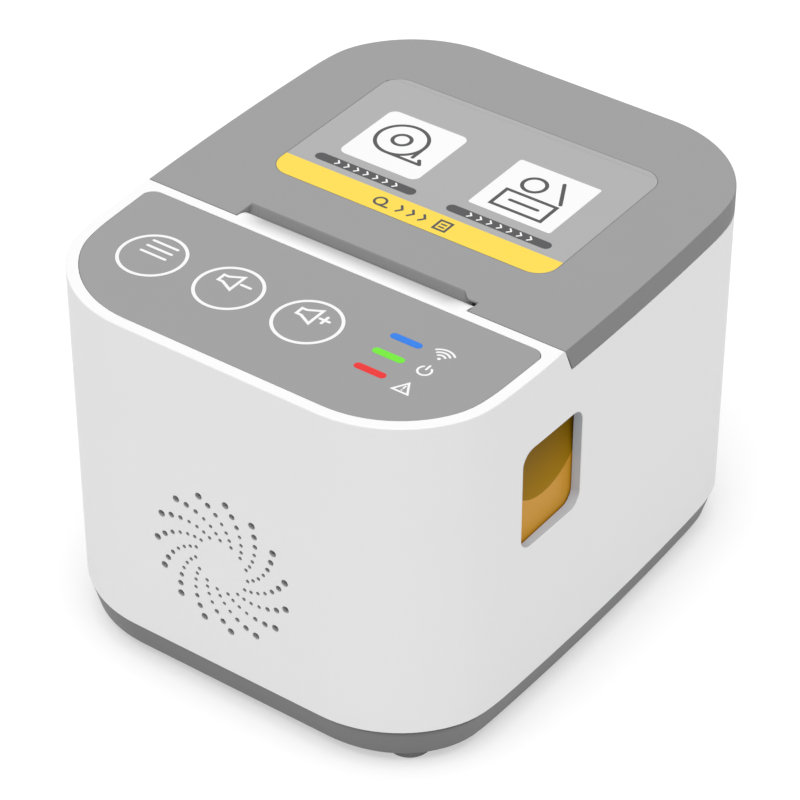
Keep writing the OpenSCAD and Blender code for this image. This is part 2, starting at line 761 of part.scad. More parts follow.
// Liner under the cover with the platen arms in front
module cover_inner() color("DimGray") {
    z0 = top - 6.8;
    difference() {
        union() {
            translate([0, (liner_y[0] + liner_y[1])/2, z0]) linear_extrude(1.8)
                soft_square([2*arm_out, liner_y[1] - liner_y[0]], 3);
            along_x(-arm_out, -arm_in) arm_shape(z0);
            along_x(arm_in, arm_out) arm_shape(z0);
            box([arm_in, catch_x], [front + 49.4, front + 58], [top - cover_t - 2, top - cover_t]);
            box([catch_x - 1.7, catch_x], [latch_y[0] - 0.2, latch_y[1] + 0.2],
                [pivot_at[1] + 7, top - cover_t - 1]);
            box([catch_x - 1.7, catch_x], [latch_y[0] - 0.2, front + 58], [top - 8, top - cover_t - 1]);
        }
        rod_x(-body_w, body_w, platen_at, 4);
        for (c = cover_screws_at) post(c, 0, top, 1.2);
        box([catch_x - 3, catch_x + 1], [latch_y[0] + 0.4, latch_y[1] - 0.4],
            [pivot_at[1] + 8.6, pivot_at[1] + 12.4]);
        for (y = [liner_y[0] + 7:9:liner_y[1] - 7]) translate([0, y, z0 - 1]) linear_extrude(4)
            bar_shape(24, 3);
    }
}

module arm_shape(z0)
    difference() {
        union() {
            translate(platen_at) circle(5.6);
            translate([platen_at[0] - 5.6, platen_at[1]]) square([11.2, top - cover_t - platen_at[1]]);
            polygon([[platen_at[0], top - cover_t], [front + 72, top - cover_t], [front + 72, z0],
                [platen_at[0] + 6.8, z0], [platen_at[0], platen_at[1] - 1]]);
        }
        translate([platen_at[0] - 9, top - 4]) square([9 - 5.6 + 2, 9]);
    }

module cover_screws() color("Silver")
    for (c = cover_screws_at) screw(c, top - 8, top - 1.6, 0.8, 1.9, 1.2);

module cover_label() color("LightGray")
    translate([0, front + label_y + label_size[1]/2, top - 0.25]) linear_extrude(0.25)
        soft_square(label_size, 5);

module hinge_pin() color("Silver")
    rod_x(-lug_x - 8, lug_x + 8, [hinge_y, hinge_z], hinge_r);

// Paper tub with a round floor and a flange on the housing's ledge
module paper_bin() color("Gray") {
    rear = hinge_y - hinge_in - 0.8;
    half = bin_w/2;
    difference() {
        union() {
            intersection() {
                slab(ledge_z, ledge_z + 2, wall + 0.1);
                box([-body_w, body_w], [bin_front, rear], [0, top]);
            }
            rod_x(-half - bin_t, half + bin_t, bin_at, bin_r + bin_t);
            box([-half - bin_t, half + bin_t], [bin_front, bin_rear], [bin_at[1], ledge_z]);
        }
        rod_x(-half, half, bin_at, bin_r);
        box([-half, half], [bin_at[0] - bin_r, bin_at[0] + bin_r], [bin_at[1], top]);
        box([-half, half], [bin_front - 1, bin_at[0]], [top - 20, top]);
        box([-body_w, body_w], [-body_d, body_d], [ledge_z + 2, top + 20]);
        for (s = [-1, 1]) translate([s*(inner_x - 6.6), 0, 0]) box([-7, 7],
            [bin_front - 1, bin_front + 4], [0, top]);
        box([-lug_x - 4, lug_x + 4], [rear - 1.2, body_d], [ledge_z - 1, top]);
    }
}

// Yellow push plate with a dished finger scoop, guided behind the side opening
module release_button() color("Goldenrod") {
    y = window_at[0];
    z = window_at[1];
    size = [window_w + 2.4, window_h + 2.4];
    dish = 14;
    deep = 1.5;
    ball = (dish*dish + deep*deep)/(2*deep);
    difference() {
        along_x(button_x - button_t, button_x) translate([y, z]) soft_square(size, 4.5);
        translate([button_x - deep + ball, y + 0.8, z - 4.4 + dish]) sphere(ball, $fn = 240);
    }
    rod_x(button_x - 5, button_x - button_t, [y - 1.4, z], 1.5);
    box([push_x, button_x - button_t], [latch_y[0] + 0.4, latch_y[1] - 0.4], [z - 1.2, z + 1.2]);
}

module release_spring() color("Silver")
    translate([spring_seat, window_at[0] - 1.4, window_at[1]]) rotate([0, 90, 0])
        coil(2.3, 0.25, 5, button_x - button_t - spring_seat);

// Rocking lever: the button pushes its tail in, the nose swings clear of the catch
module latch_lever() color("DimGray")
    translate([0, latch_y[1], 0]) rotate([90, 0, 0]) linear_extrude(latch_y[1] - latch_y[0]) difference() {
        x = pivot_at[0];
        z = pivot_at[1];
        union() {
            translate(pivot_at) circle(2.6);
            polygon([[x - 1, z - 12], [x + 1, z - 12], [x + 1, z + 12], [x - 1, z + 12],
                [nose_x, z + 11], [nose_x, z + 9.6], [x - 1, z + 9]]);
        }
        translate(pivot_at) circle(1 + run_gap);
    }

module latch_pin() color("Silver") rod_y(latch_y[0] - 2.4, latch_y[1] + 2.4, pivot_at, 1);

module main_board() color("DarkGreen")
    difference() {
        translate([0, (main_board_y[0] + main_board_y[1])/2, main_board_z]) linear_extrude(board_t)
            soft_square([2*main_board_x, main_board_y[1] - main_board_y[0]], 3);
        for (s = stay_at) post(s, 0, top, 1.3);
    }

module main_board_screws() color("Silver")
    for (s = stay_at) translate([s[0], s[1], 0]) {
        translate([0, 0, main_board_z + board_t]) cylinder(1.2, r = 2);
        translate([0, 0, main_board_z - 5]) cylinder(5 + board_t, r = 0.9);
    }

module board_chips() color("Black")
    translate([0, main_board_y[0], main_board_z + board_t]) {
        box([-6, 6], [17, 29], [0, 1.4]);
        box([14, 24], [29, 35], [0, 1.6]);
        box([-26, -18], [33, 41], [0, 1.2]);
        box([8, 16], [9, 15], [0, 2]);
    }

module capacitors() color("SlateGray")
    for (y = [7, 18])
        post([main_board_x - 12, main_board_y[0] + y], main_board_z + board_t, main_board_z + board_t + 8, 4);

// Outlines of the sockets cut in the rear wall
module rear_openings(gap) {
    z = main_board_z + board_t;
    box([-23 - gap, -11 + gap], [rear_in - 1, body_d], [z - gap, z + 11 + gap]);
    rod_y(rear_in - 1, body_d, [-1, z + 5.5], 4 + gap);
    box([9.5 - gap, 22.5 + gap], [rear_in - 1, body_d], [z - gap, z + 15 + gap]);
    box([8.5 - gap, 23.5 + gap], [body_d/2 - 1.2, body_d], [z - 1 - gap, z + 16 + gap]);
}

module usb_socket() color("Silver") {
    z = main_board_z + board_t;
    difference() {
        box([-23, -11], [rear_in - 13, rear_in + 1.2], [z, z + 11]);
        box([-21.4, -12.6], [rear_in - 9, body_d], [z + 1.4, z + 9.6]);
    }
    box([-19.6, -14.4], [rear_in - 10, rear_in - 0.4], [z + 3.8, z + 7.2]);
}

module power_jack() color("Black") {
    z = main_board_z + board_t;
    difference() {
        union() {
            box([-5.5, 3.5], [rear_in - 13, rear_in - 0.4], [z, z + 10.5]);
            rod_y(rear_in - 1, rear_in + 1.2, [-1, z + 5.5], 4);
        }
        rod_y(rear_in - 9, body_d, [-1, z + 5.5], 2.8);
    }
    rod_y(rear_in - 10, rear_in, [-1, z + 5.5], 1);
}

module switch_housing() color("Black") {
    z = main_board_z + board_t;
    difference() {
        union() {
            box([9.5, 22.5], [rear_in - 10, body_d/2], [z, z + 15]);
            box([8.5, 23.5], [body_d/2 - 1.2, body_d/2], [z - 1, z + 16]);
        }
        box([11, 21], [rear_in - 6, body_d], [z + 1.5, z + 13.5]);
        rod_x(10, 22, rocker_at, 1 + run_gap);
    }
}

// Rocker cap, resting with its upper half pressed in
module switch_rocker() color("Black") {
    translate([11.3, rocker_at[0], rocker_at[1]]) rotate([90, 0, 90]) rotate(7) linear_extrude(9.4) {
        circle(2.2);
        polygon([[-1, -5], [3.1, -5.2], [2.3, 0], [3.1, 5.2], [-1, 5]]);
    }
    rod_x(10.1, 21.9, rocker_at, 1);
}

base_tray();
rubber_feet();
base_screws();
main_shell();
control_panel();
key_settings();
key_volume_down();
key_volume_up();
key_board();
board_screws();
key_switches();
led_chips();
light_pipe_network();
light_pipe_power();
light_pipe_status();
speaker_frame();
speaker_cone();
speaker_magnet();
mech_frame();
mech_screws();
print_head();
heat_sink();
head_pin();
head_springs();
stepper_motor();
motor_screws();
motor_shaft();
motor_pinion();
idler_gear();
idler_pin();
paper_sensor();
platen_rubber();
platen_shaft();
platen_gear();
platen_bushes();
cover_shell();
cover_inner();
cover_screws();
cover_label();
hinge_pin();
paper_bin();
release_button();
release_spring();
latch_lever();
latch_pin();
main_board();
main_board_screws();
board_chips();
capacitors();
usb_socket();
power_jack();
switch_housing();
switch_rocker();
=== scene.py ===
import math
import bmesh
import bpy
from mathutils import Matrix, Vector


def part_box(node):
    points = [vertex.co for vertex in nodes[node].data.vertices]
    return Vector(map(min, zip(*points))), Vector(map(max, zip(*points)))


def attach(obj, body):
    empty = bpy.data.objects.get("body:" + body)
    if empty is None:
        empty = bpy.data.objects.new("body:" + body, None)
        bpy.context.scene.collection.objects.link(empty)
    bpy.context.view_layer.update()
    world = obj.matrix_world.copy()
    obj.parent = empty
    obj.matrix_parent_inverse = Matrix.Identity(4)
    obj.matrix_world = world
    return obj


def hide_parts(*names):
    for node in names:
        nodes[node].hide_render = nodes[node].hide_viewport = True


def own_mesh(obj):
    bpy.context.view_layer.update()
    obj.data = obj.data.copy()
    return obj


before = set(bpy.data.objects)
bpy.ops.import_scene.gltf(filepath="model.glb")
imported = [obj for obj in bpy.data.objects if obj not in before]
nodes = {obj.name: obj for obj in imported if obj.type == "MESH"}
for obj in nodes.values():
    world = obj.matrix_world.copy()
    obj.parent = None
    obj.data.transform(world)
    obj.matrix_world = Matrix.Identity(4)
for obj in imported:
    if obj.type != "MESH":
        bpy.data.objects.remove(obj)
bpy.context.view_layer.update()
mm = 0.001
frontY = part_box("main_shell")[0].y / mm
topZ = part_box("main_shell")[1].z / mm
print("frame loaded:", len(nodes), "nodes")

# settings that many nodes share
mathNode = "ShaderNodeMath"
rgbMix = {"data_type": "RGBA"}
plus, minus = {"operation": "ADD"}, {"operation": "SUBTRACT"}
times, divide = {"operation": "MULTIPLY"}, {"operation": "DIVIDE"}
timesPlus, larger = {"operation": "MULTIPLY_ADD"}, {"operation": "MAXIMUM"}


def linear(code):  # sRGB hex to linear rgba
    parts = [int(code[i:i + 2], 16) / 255 for i in (1, 3, 5)]
    return tuple(c / 12.92 if c <= 0.04045 else ((c + 0.055) / 1.055) ** 2.4 for c in parts) + (1.0,)


def tint(code, factor):  # the same colour, a little lighter or darker
    return tuple(min(c * factor, 1.0) for c in linear(code)[:3]) + (1.0,)


def addNode(tree, kind, settings=None, **links):  # a link is a value or an output; i3 means socket number 3
    node = tree.nodes.new(kind)
    for key, value in (settings or {}).items():
        setattr(node, key, value)
    for key, value in links.items():
        byNumber = key[0] == "i" and key[1:].isdigit()
        socket = node.inputs[int(key[1:])] if byNumber else node.inputs[key.replace("_", " ")]
        if isinstance(value, bpy.types.NodeSocket):
            tree.links.new(value, socket)
        else:
            socket.default_value = value
    return node


def newMaterial(name):
    material = bpy.data.materials.new(name)
    material.use_nodes = True
    tree = material.node_tree
    tree.nodes.clear()
    shader = addNode(tree, "ShaderNodeBsdfPrincipled")
    addNode(tree, "ShaderNodeOutputMaterial", Surface=shader.outputs[0])
    place = addNode(tree, "ShaderNodeTexCoord").outputs["Object"]
    return material, tree, shader, place


def surface(tree, shader, tone, dents, gloss=None):  # colour, relief and gloss go to the shader
    tree.links.new(tone.outputs[2], shader.inputs["Base Color"])
    tree.links.new(dents.outputs[0], shader.inputs["Normal"])
    if gloss:
        tree.links.new(gloss.outputs[0], shader.inputs["Roughness"])


# lengths in mm, how far the grain swings the gloss, and a painted shade that by default spans the whole width
mould = {"cloud": 18, "depth": 0.03, "swing": 0.06, "whole": (90, 80)}


def moulded(name, code, rough=0.5, grain=0.45, bump=0.12, mottle=0.025, ior=1.53, glint=0.5, fade=None):
    # moulded plastic: one colour with a faint cloud from the melt; the tool's spark grain is a soft sparkle
    material, tree, shader, place = newMaterial(name)
    cloud = addNode(tree, "ShaderNodeTexNoise", Vector=place, Scale=1 / (mould["cloud"] * mm), Detail=2.0)
    tone = addNode(tree, "ShaderNodeMix", rgbMix, i0=cloud.outputs[0],
                   i6=tint(code, 1 - mottle), i7=tint(code, 1 + mottle))
    # the real grain is about 0.1 mm, drawn coarser so that it shows
    spark = addNode(tree, "ShaderNodeTexNoise", Vector=place, Scale=1 / (grain * mm), Detail=1.0)
    gloss = addNode(tree, "ShaderNodeMapRange", Value=spark.outputs[0],
                    To_Min=rough - mould["swing"], To_Max=rough + mould["swing"])
    dents = addNode(tree, "ShaderNodeBump", Strength=bump, Distance=mould["depth"] * mm,
                    Height=spark.outputs[0])
    if fade:  # painted shade: where a form turns from the light, the colour is drawn darker along one axis, over all or part of the width
        where = addNode(tree, "ShaderNodeSeparateXYZ", Vector=place)
        (start, end), (edge, full) = fade["span"], fade.get("within", mould["whole"])
        along = addNode(tree, "ShaderNodeMapRange", Value=where.outputs[fade["axis"]],
                        From_Min=start * mm, From_Max=end * mm)
        aside = addNode(tree, mathNode, {"operation": "ABSOLUTE"}, i0=where.outputs["X"])
        within = addNode(tree, "ShaderNodeMapRange", Value=aside.outputs[0],
                         From_Min=edge * mm, From_Max=full * mm)
        both = addNode(tree, mathNode, times, i0=along.outputs[0], i1=within.outputs[0])
        dim = addNode(tree, "ShaderNodeMapRange", Value=both.outputs[0], To_Min=1.0, To_Max=fade["to"])
        tone = addNode(tree, "ShaderNodeMix", {"data_type": "RGBA", "blend_type": "MULTIPLY"}, i0=1.0,
                       i6=tone.outputs[2], i7=dim.outputs[0])
    surface(tree, shader, tone, dents, gloss)
    shader.inputs["IOR"].default_value = ior
    shader.inputs["Specular IOR Level"].default_value = glint
    return material


tooled = {"depth": 0.02, "dull": 0.9, "bright": 1.08, "finer": 0.08, "rougher": 0.1}


def metal(name, code, rough=0.3, line=0.25, stretch=(1, 1, 1), bump=0.05):
    # plated or machined metal: fine tool lines along one way, so the gloss breaks up across them
    material, tree, shader, place = newMaterial(name)
    lay = addNode(tree, "ShaderNodeMapping", Vector=place, Scale=stretch)
    lines = addNode(tree, "ShaderNodeTexNoise", Vector=lay.outputs[0], Scale=1 / (line * mm), Detail=2.0)
    tone = addNode(tree, "ShaderNodeMix", rgbMix, i0=lines.outputs[0],
                   i6=tint(code, tooled["dull"]), i7=tint(code, tooled["bright"]))
    gloss = addNode(tree, "ShaderNodeMapRange", Value=lines.outputs[0],
                    To_Min=rough - tooled["finer"], To_Max=rough + tooled["rougher"])
    dents = addNode(tree, "ShaderNodeBump", Strength=bump, Distance=tooled["depth"] * mm,
                    Height=lines.outputs[0])
    surface(tree, shader, tone, dents, gloss)
    shader.inputs["Metallic"].default_value = 1.0
    return material


board = {"pitch": 4, "track": (0.04, 0.07), "copper": 0.035, "raised": "#3F8F5A", "bare": "#175C33",
         "bump": 0.3, "rough": 0.28}


def circuitMask(name):
    # FR-4 board: glossy green mask over copper tracks, which show through a shade lighter
    material, tree, shader, place = newMaterial(name)
    cells = addNode(tree, "ShaderNodeTexVoronoi", {"feature": "DISTANCE_TO_EDGE"}, Vector=place,
                    Scale=1 / (board["pitch"] * mm))
    track = addNode(tree, "ShaderNodeMapRange", Value=cells.outputs[0],
                    From_Min=board["track"][0], From_Max=board["track"][1])
    tone = addNode(tree, "ShaderNodeMix", rgbMix, i0=track.outputs[0],
                   i6=linear(board["raised"]), i7=linear(board["bare"]))
    edge = addNode(tree, "ShaderNodeBump", {"invert": True}, Strength=board["bump"],
                   Distance=board["copper"] * mm, Height=track.outputs[0])
    surface(tree, shader, tone, edge)
    shader.inputs["Roughness"].default_value = board["rough"]
    return material


pipe = {"frost": 0.5, "depth": 0.02, "bump": 0.08, "dull": 0.92, "bright": 1.05, "glow": 0.3, "rough": 0.4,
        "ior": 1.58, "glint": 0.3}


def litBar(name, code):
    # tinted polycarbonate light pipe with a diffusing top: even colour that seems lit from below
    material, tree, shader, place = newMaterial(name)
    frost = addNode(tree, "ShaderNodeTexNoise", Vector=place, Scale=1 / (pipe["frost"] * mm), Detail=1.0)
    tone = addNode(tree, "ShaderNodeMix", rgbMix, i0=frost.outputs[0],
                   i6=tint(code, pipe["dull"]), i7=tint(code, pipe["bright"]))
    dents = addNode(tree, "ShaderNodeBump", Strength=pipe["bump"], Distance=pipe["depth"] * mm,
                    Height=frost.outputs[0])
    surface(tree, shader, tone, dents)
    shader.inputs["Emission Color"].default_value = linear(code)
    shader.inputs["Emission Strength"].default_value = pipe["glow"]
    shader.inputs["Roughness"].default_value = pipe["rough"]
    shader.inputs["IOR"].default_value = pipe["ior"]
    shader.inputs["Specular IOR Level"].default_value = pipe["glint"]
    return material


# satin ABS of the housing: a broad soft highlight and hardly any grain
whiteAbs = moulded("white_abs_satin", "#E7E7E7", rough=0.5, bump=0.06, mottle=0.006)
# painted shade: the lip rolls down into the slot, and its white is drawn darker towards the slot, where the
# cover behind it shades it
lipPaintedShade = moulded("white_abs_lip_painted_shade", "#E7E7E7", rough=0.5, bump=0.06, mottle=0.006,
                   fade={"axis": "Y", "span": (-22.7, -19.6), "within": (29.2, 24.5), "to": 0.62})
# painted shade: the white inside the side opening and the sound holes is drawn darker, the opening's with a
# bluish cast, where little light comes
revealPaintedShade = moulded("white_abs_reveal_painted_shade", "#BEC7D3", rough=0.55, bump=0.06, mottle=0.01, glint=0.3)
holePaintedShade = moulded("white_abs_hole_painted_shade", "#BEBEBE", rough=0.6, bump=0.06, mottle=0.01, glint=0.2)
# grey ABS of the cover: an even matt top
coverAbs = moulded("grey_abs_cover", "#8C8C8C", rough=0.52, bump=0.1, mottle=0.012)
# the band and the slot keep a coarser spark texture, and their darker grey is painted shade for faces that
# turn from the light above
coverSidePaintedShade = moulded("grey_abs_coarse_painted_shade", "#7E7E7E", rough=0.6, grain=0.6, bump=0.16, mottle=0.015, glint=0.35)
# painted shade: the tray is drawn softly darker where the housing hangs over it
baseAbs = moulded("grey_abs_base_painted_shade", "#707070", rough=0.55, bump=0.14, mottle=0.02,
                  fade={"axis": "Z", "span": (9.1, 10.0), "to": 0.78})
# the button's amber, and its scoop in a darker amber, which deepens upwards and is drawn from mid to dark as
# painted shade
amberAbs = moulded("amber_abs", "#CE9318", rough=0.42, grain=0.5, bump=0.06, mottle=0.02, glint=0.2)
amberScoopShade = moulded("amber_abs_scoop_painted_shade", "#A07600", rough=0.5, grain=0.5, bump=0.06, mottle=0.03, glint=0.05,
                    fade={"axis": "Z", "span": (57, 73), "to": 0.52})
# films and screen inks: smoother and flatter than the mouldings
panelFilm = moulded("grey_polycarbonate_film", "#8C8C8C", rough=0.46, grain=0.3, bump=0.06, mottle=0.01,
                    ior=1.58)
labelPet = moulded("label_pet_matte", "#9E9E9E", rough=0.42, grain=0.35, bump=0.04, mottle=0.012, ior=1.57)
inkWhite = moulded("screen_ink_white", "#E6E6E6", rough=0.55, grain=0.25, bump=0.1, mottle=0.01)
inkYellow = moulded("screen_ink_yellow", "#EBCC48", rough=0.5, grain=0.3, bump=0.05, mottle=0.012, glint=0.3)
inkDark = moulded("screen_ink_charcoal", "#3E3E40", rough=0.5, grain=0.3, bump=0.06, mottle=0.04)
# inner mouldings: dark plastics with a plain mould sheen, and slippery pale acetal for the gears
darkAbs = moulded("charcoal_abs", "#4A4A4C", rough=0.5, bump=0.15, mottle=0.04)
blackPbt = moulded("black_pbt", "#1C1C1E", rough=0.42, grain=0.35, bump=0.12, mottle=0.08)
binAbs = moulded("mid_grey_abs_bin", "#6C6C6E", rough=0.5, bump=0.14, mottle=0.03)
gearPom = moulded("acetal_natural", "#E4E2DA", rough=0.32, grain=0.6, bump=0.04, mottle=0.02, ior=1.48)
# dull rubber and pressed paper, with a rough nap
footRubber = moulded("grey_tpe_foot", "#747476", rough=0.8, grain=0.4, bump=0.3, mottle=0.06)
rollerRubber = moulded("ground_epdm_roller", "#1F1F20", rough=0.72, grain=0.25, bump=0.35, mottle=0.1)
conePaper = moulded("pressed_cone_paper", "#2B2B2B", rough=0.85, grain=0.6, bump=0.5, mottle=0.15)
# glassy head, and the shrunk or cast skins of electronic parts
alumina = moulded("glazed_alumina", "#D8D3C6", rough=0.22, grain=1.2, bump=0.03, mottle=0.03, ior=1.7)
chipEpoxy = moulded("chip_epoxy", "#202022", rough=0.55, grain=0.3, bump=0.2, mottle=0.1)
sleevePvc = moulded("capacitor_sleeve", "#2E3A4C", rough=0.3, grain=1.0, bump=0.03, mottle=0.05)
# plated, ground, drawn, extruded and turned metals: bright, with the lines of their tools
zincSteel = metal("zinc_plated_steel", "#C9CACC", rough=0.32, line=0.5)
groundSteel = metal("ground_steel_pin", "#C6C6C8", rough=0.2, line=0.3, stretch=(0.05, 1, 1))
springSteel = metal("spring_wire", "#B9B9BC", rough=0.25, line=0.3)
platedSteel = metal("plated_sheet_steel", "#A9AAAE", rough=0.35, line=0.6)
extrudedAluminium = metal("extruded_aluminium", "#C4C6CA", rough=0.38, line=0.3, stretch=(1, 1, 0.06))
turnedBrass = metal("turned_brass", "#D0A850", rough=0.28, line=0.2)
boardMask = circuitMask("green_solder_mask")
lightBlue = litBar("tinted_pc_blue", "#1468C3")
lightGreen = litBar("tinted_pc_green", "#5DC51F")
lightRed = litBar("tinted_pc_red", "#C61818")
print("materials ready:", len(bpy.data.materials))

# how meshes are joined and shaded: lengths in mm, angles in degrees
shaping = {"join": 0.002, "touch": 0.001, "flat": 0.15, "sharp": 28, "flatWeight": 90}


def newPiece(name, mesh):
    piece = bpy.data.objects.new(name, mesh)
    bpy.context.scene.collection.objects.link(piece)
    return piece


def mergedForm(node):  # copy of a node with its triangles joined
    form = bmesh.new()
    form.from_mesh(nodes[node].data)
    bmesh.ops.remove_doubles(form, verts=form.verts, dist=shaping["join"] * mm)
    return form


def formPiece(name, form, materials):
    mesh = bpy.data.meshes.new(name)
    form.to_mesh(mesh)
    form.free()
    for material in materials:
        mesh.materials.append(material)
    return newPiece(name, mesh)


def settle(piece):  # modifiers become plain mesh
    graph = bpy.context.evaluated_depsgraph_get()
    shape = piece.evaluated_get(graph)
    mesh = bpy.data.meshes.new_from_object(shape, preserve_all_data_layers=True, depsgraph=graph)
    piece.modifiers.clear()
    piece.data = mesh
    return piece


def carry(piece, body, stands=()):
    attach(piece, body)
    if stands:
        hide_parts(*stands)
    return piece


# outline of the housing seen from above: round corners cut from slightly bowed sides, eased where they meet
plan = {"half": (55.0, 67.0), "corner": 29.5, "bow": 0.8, "ease": 7.0, "easeDepth": (-9, -4),
        "cuts": (1.2, 2.6, 4.2, 6.2)}
cornerX, cornerY = plan["half"][0] - plan["corner"], plan["half"][1] - plan["corner"]
bowR = (cornerY ** 2 + plan["bow"] ** 2) / (2 * plan["bow"])


def planGaps(x, y):  # how far a point stands outside the side's bow and outside the corner's circle
    side = math.hypot(abs(x) - plan["half"][0] + bowR, y) - bowR
    corner = math.hypot(abs(x) - cornerX, abs(y) - cornerY) - plan["corner"]
    return side, corner


def outBy(x, y):  # above zero outside the outline, below zero inside
    side, corner = planGaps(x, y)
    if abs(x) < cornerX:
        return abs(y) - plan["half"][1]
    return side if abs(y) < cornerY else max(side, corner)


low, high = 0.0, math.pi / 2  # angle on the corner's circle where the bow cuts it, halved in on
for step in range(40):
    bend = (low + high) / 2
    kinkX, kinkY = cornerX + plan["corner"] * math.cos(bend), cornerY + plan["corner"] * math.sin(bend)
    low, high = (bend, high) if planGaps(kinkX, kinkY)[0] > 0 else (low, bend)
kink = bend - math.asin(kinkY / bowR)
facing = bend - kink / 2


def eased(x, y):  # where bow and corner meet: how far in the rounded outline lies, and how it turns
    x, y = abs(x) - kinkX, abs(y) - kinkY
    along = y * math.cos(facing) - x * math.sin(facing)
    out = x * math.cos(facing) + y * math.sin(facing)
    deep, full = plan["easeDepth"]
    left = max(plan["ease"] - abs(along), 0) * min(max((out - deep) / (full - deep), 0), 1)
    return kink * left ** 2 / (4 * plan["ease"]), math.copysign(kink * left / (2 * plan["ease"]), -along)


def outWay(x, y):  # outward direction of the outline
    if abs(x) < cornerX:
        return Vector((0, math.copysign(1, y), 0))
    side, corner = planGaps(x, y)
    way = math.atan2(abs(y), abs(x) - plan["half"][0] + bowR)
    if abs(y) > cornerY and corner > side:
        way = math.atan2(abs(y) - cornerY, abs(x) - cornerX)
    way += eased(x, y)[1]
    return Vector((math.copysign(math.cos(way), x), math.copysign(math.sin(way), y), 0))


# how upright, how outward and how close to the outline a face of the outer wall is
wall = {"tilt": 0.02, "agree": 0.9, "near": 0.08}


def smoothWall(piece):  # outer walls take the outline's own direction, so that no facet shows
    mesh = piece.data
    ways = [corner.vector.copy() for corner in mesh.corner_normals]
    for face in mesh.polygons:
        x, y = face.center.x / mm, face.center.y / mm
        upright = abs(face.normal.z) <= wall["tilt"] and face.normal.dot(outWay(x, y)) >= wall["agree"]
        if not upright or abs(outBy(x, y) + eased(x, y)[0]) > wall["near"]:
            continue
        for corner in face.loop_indices:
            at = mesh.vertices[mesh.loops[corner].vertex_index].co / mm
            ways[corner] = outWay(at.x, at.y)
    mesh.normals_split_custom_set(ways)


def roundedCopy(node, name, width, pick, materials, segments=3, lower=0.0, reshape=None):
    # merged copy of a node; pick gives a sharp edge its share of the edge radius, reshape moves single points
    form = mergedForm(node)
    if lower:  # leaves room for ink under the top of the box
        for vert in form.verts:
            if vert.co.z > (topZ - shaping["touch"]) * mm:
                vert.co.z -= lower * mm
    flat = math.radians(shaping["flat"])
    bmesh.ops.dissolve_limit(form, angle_limit=flat, verts=form.verts, edges=form.edges)
    for back in plan["cuts"]:  # cuts that let the eased outline bend
        for side in (-1, 1):
            whole = form.verts[:] + form.edges[:] + form.faces[:]
            bmesh.ops.bisect_plane(form, geom=whole, dist=shaping["touch"] * mm,
                                   plane_co=(0, side * (kinkY - back) * mm, 0), plane_no=(0, 1, 0))
    share = form.edges.layers.float.new("bevel_weight_edge")
    for face in form.faces:
        face.smooth = True
        face.material_index = 0
    for edge in form.edges:
        sharp = len(edge.link_faces) == 2 and edge.calc_face_angle(0) > math.radians(shaping["sharp"])
        if sharp:
            edge[share] = pick((edge.verts[0].co + edge.verts[1].co) / (2 * mm), edge)
        edge.smooth = not sharp or edge[share] > 0
    for vert in form.verts:
        inward = eased(vert.co.x / mm, vert.co.y / mm)[0] * mm
        vert.co.x -= math.copysign(inward * math.cos(facing), vert.co.x)
        vert.co.y -= math.copysign(inward * math.sin(facing), vert.co.y)
        if reshape:
            vert.co = reshape(vert.co / mm) * mm
    piece = formPiece(name, form, materials)
    bevel = piece.modifiers.new("edgeRadius", "BEVEL")
    bevel.limit_method = "WEIGHT"
    bevel.width = width * mm
    bevel.segments = segments
    bevel.use_clamp_overlap = False
    flats = piece.modifiers.new("flatShading", "WEIGHTED_NORMAL")
    flats.keep_sharp = True
    flats.weight = shaping["flatWeight"]
    return settle(piece)


flush = 0.02  # an edge this close to the top of the box lies in it

# housing: rim and openings get the small radii that a mould gives
housing = {"radius": 0.3, "rim": 1.0, "seam": 0.6, "window": 0.6, "inner": 0.3, "near": 0.3,
           "seamTop": 11, "lipDepth": 7, "lipBack": -14, "lipUp": 0.1, "steep": 0.3}
window = {"at": (-23.8, 60.6), "half": (11.5, 13.5), "outside": 53.2, "reveal": (51.5, 54.75)}
grille = {"arms": 15, "rows": 7, "inner": 7.05, "step": 1.4, "grow": 0.053, "start": 138.4, "lean": 7.0,
          "hole": 0.5, "even": 3, "swell": 0.14, "centre": topZ - 52.4, "lip": 0.05, "field": 20, "depth": 3,
          "loopSides": 20, "tubeSides": 6}
shellWhiteAndShades = [whiteAbs, revealPaintedShade, lipPaintedShade, holePaintedShade]


def inWindow(at):
    (y, z), (halfY, halfZ) = window["at"], window["half"]
    return abs(at.y - y) < halfY and abs(at.z - z) < halfZ


def inGrille(at):
    return at.y < frontY + grille["depth"] and math.hypot(at.x, at.z - grille["centre"]) < grille["field"]


def housingEdges(at, edge):
    outside = outBy(at.x, at.y) > -housing["near"]
    if inGrille(at):
        return 0.0
    if abs(at.z - topZ) < flush:
        return housing["rim"] if outside else housing["inner"]
    if at.z < housing["seamTop"] and outside:
        return housing["seam"]
    return housing["window"] if at.x > window["outside"] and inWindow(at) else 0.0


shell = roundedCopy("main_shell", "housing", housing["radius"], housingEdges, shellWhiteAndShades)
smoothWall(shell)
for face in shell.data.polygons:  # the slot's lip, and the walls of the opening and of the sound holes, take the white with painted shade
    at, finish = face.center / mm, whiteAbs
    if face.normal.z > housing["lipUp"] and at.z > topZ - housing["lipDepth"] and at.y < housing["lipBack"]:
        finish = lipPaintedShade
    inReveal = window["reveal"][0] < at.x < window["reveal"][1]
    if inWindow(at) and inReveal and abs(face.normal.x) < housing["steep"]:
        finish = revealPaintedShade
    if inGrille(at) and abs(face.normal.y) < housing["steep"]:
        finish = holePaintedShade
    face.material_index = shellWhiteAndShades.index(finish)
carry(shell, "chassis", ["main_shell"])

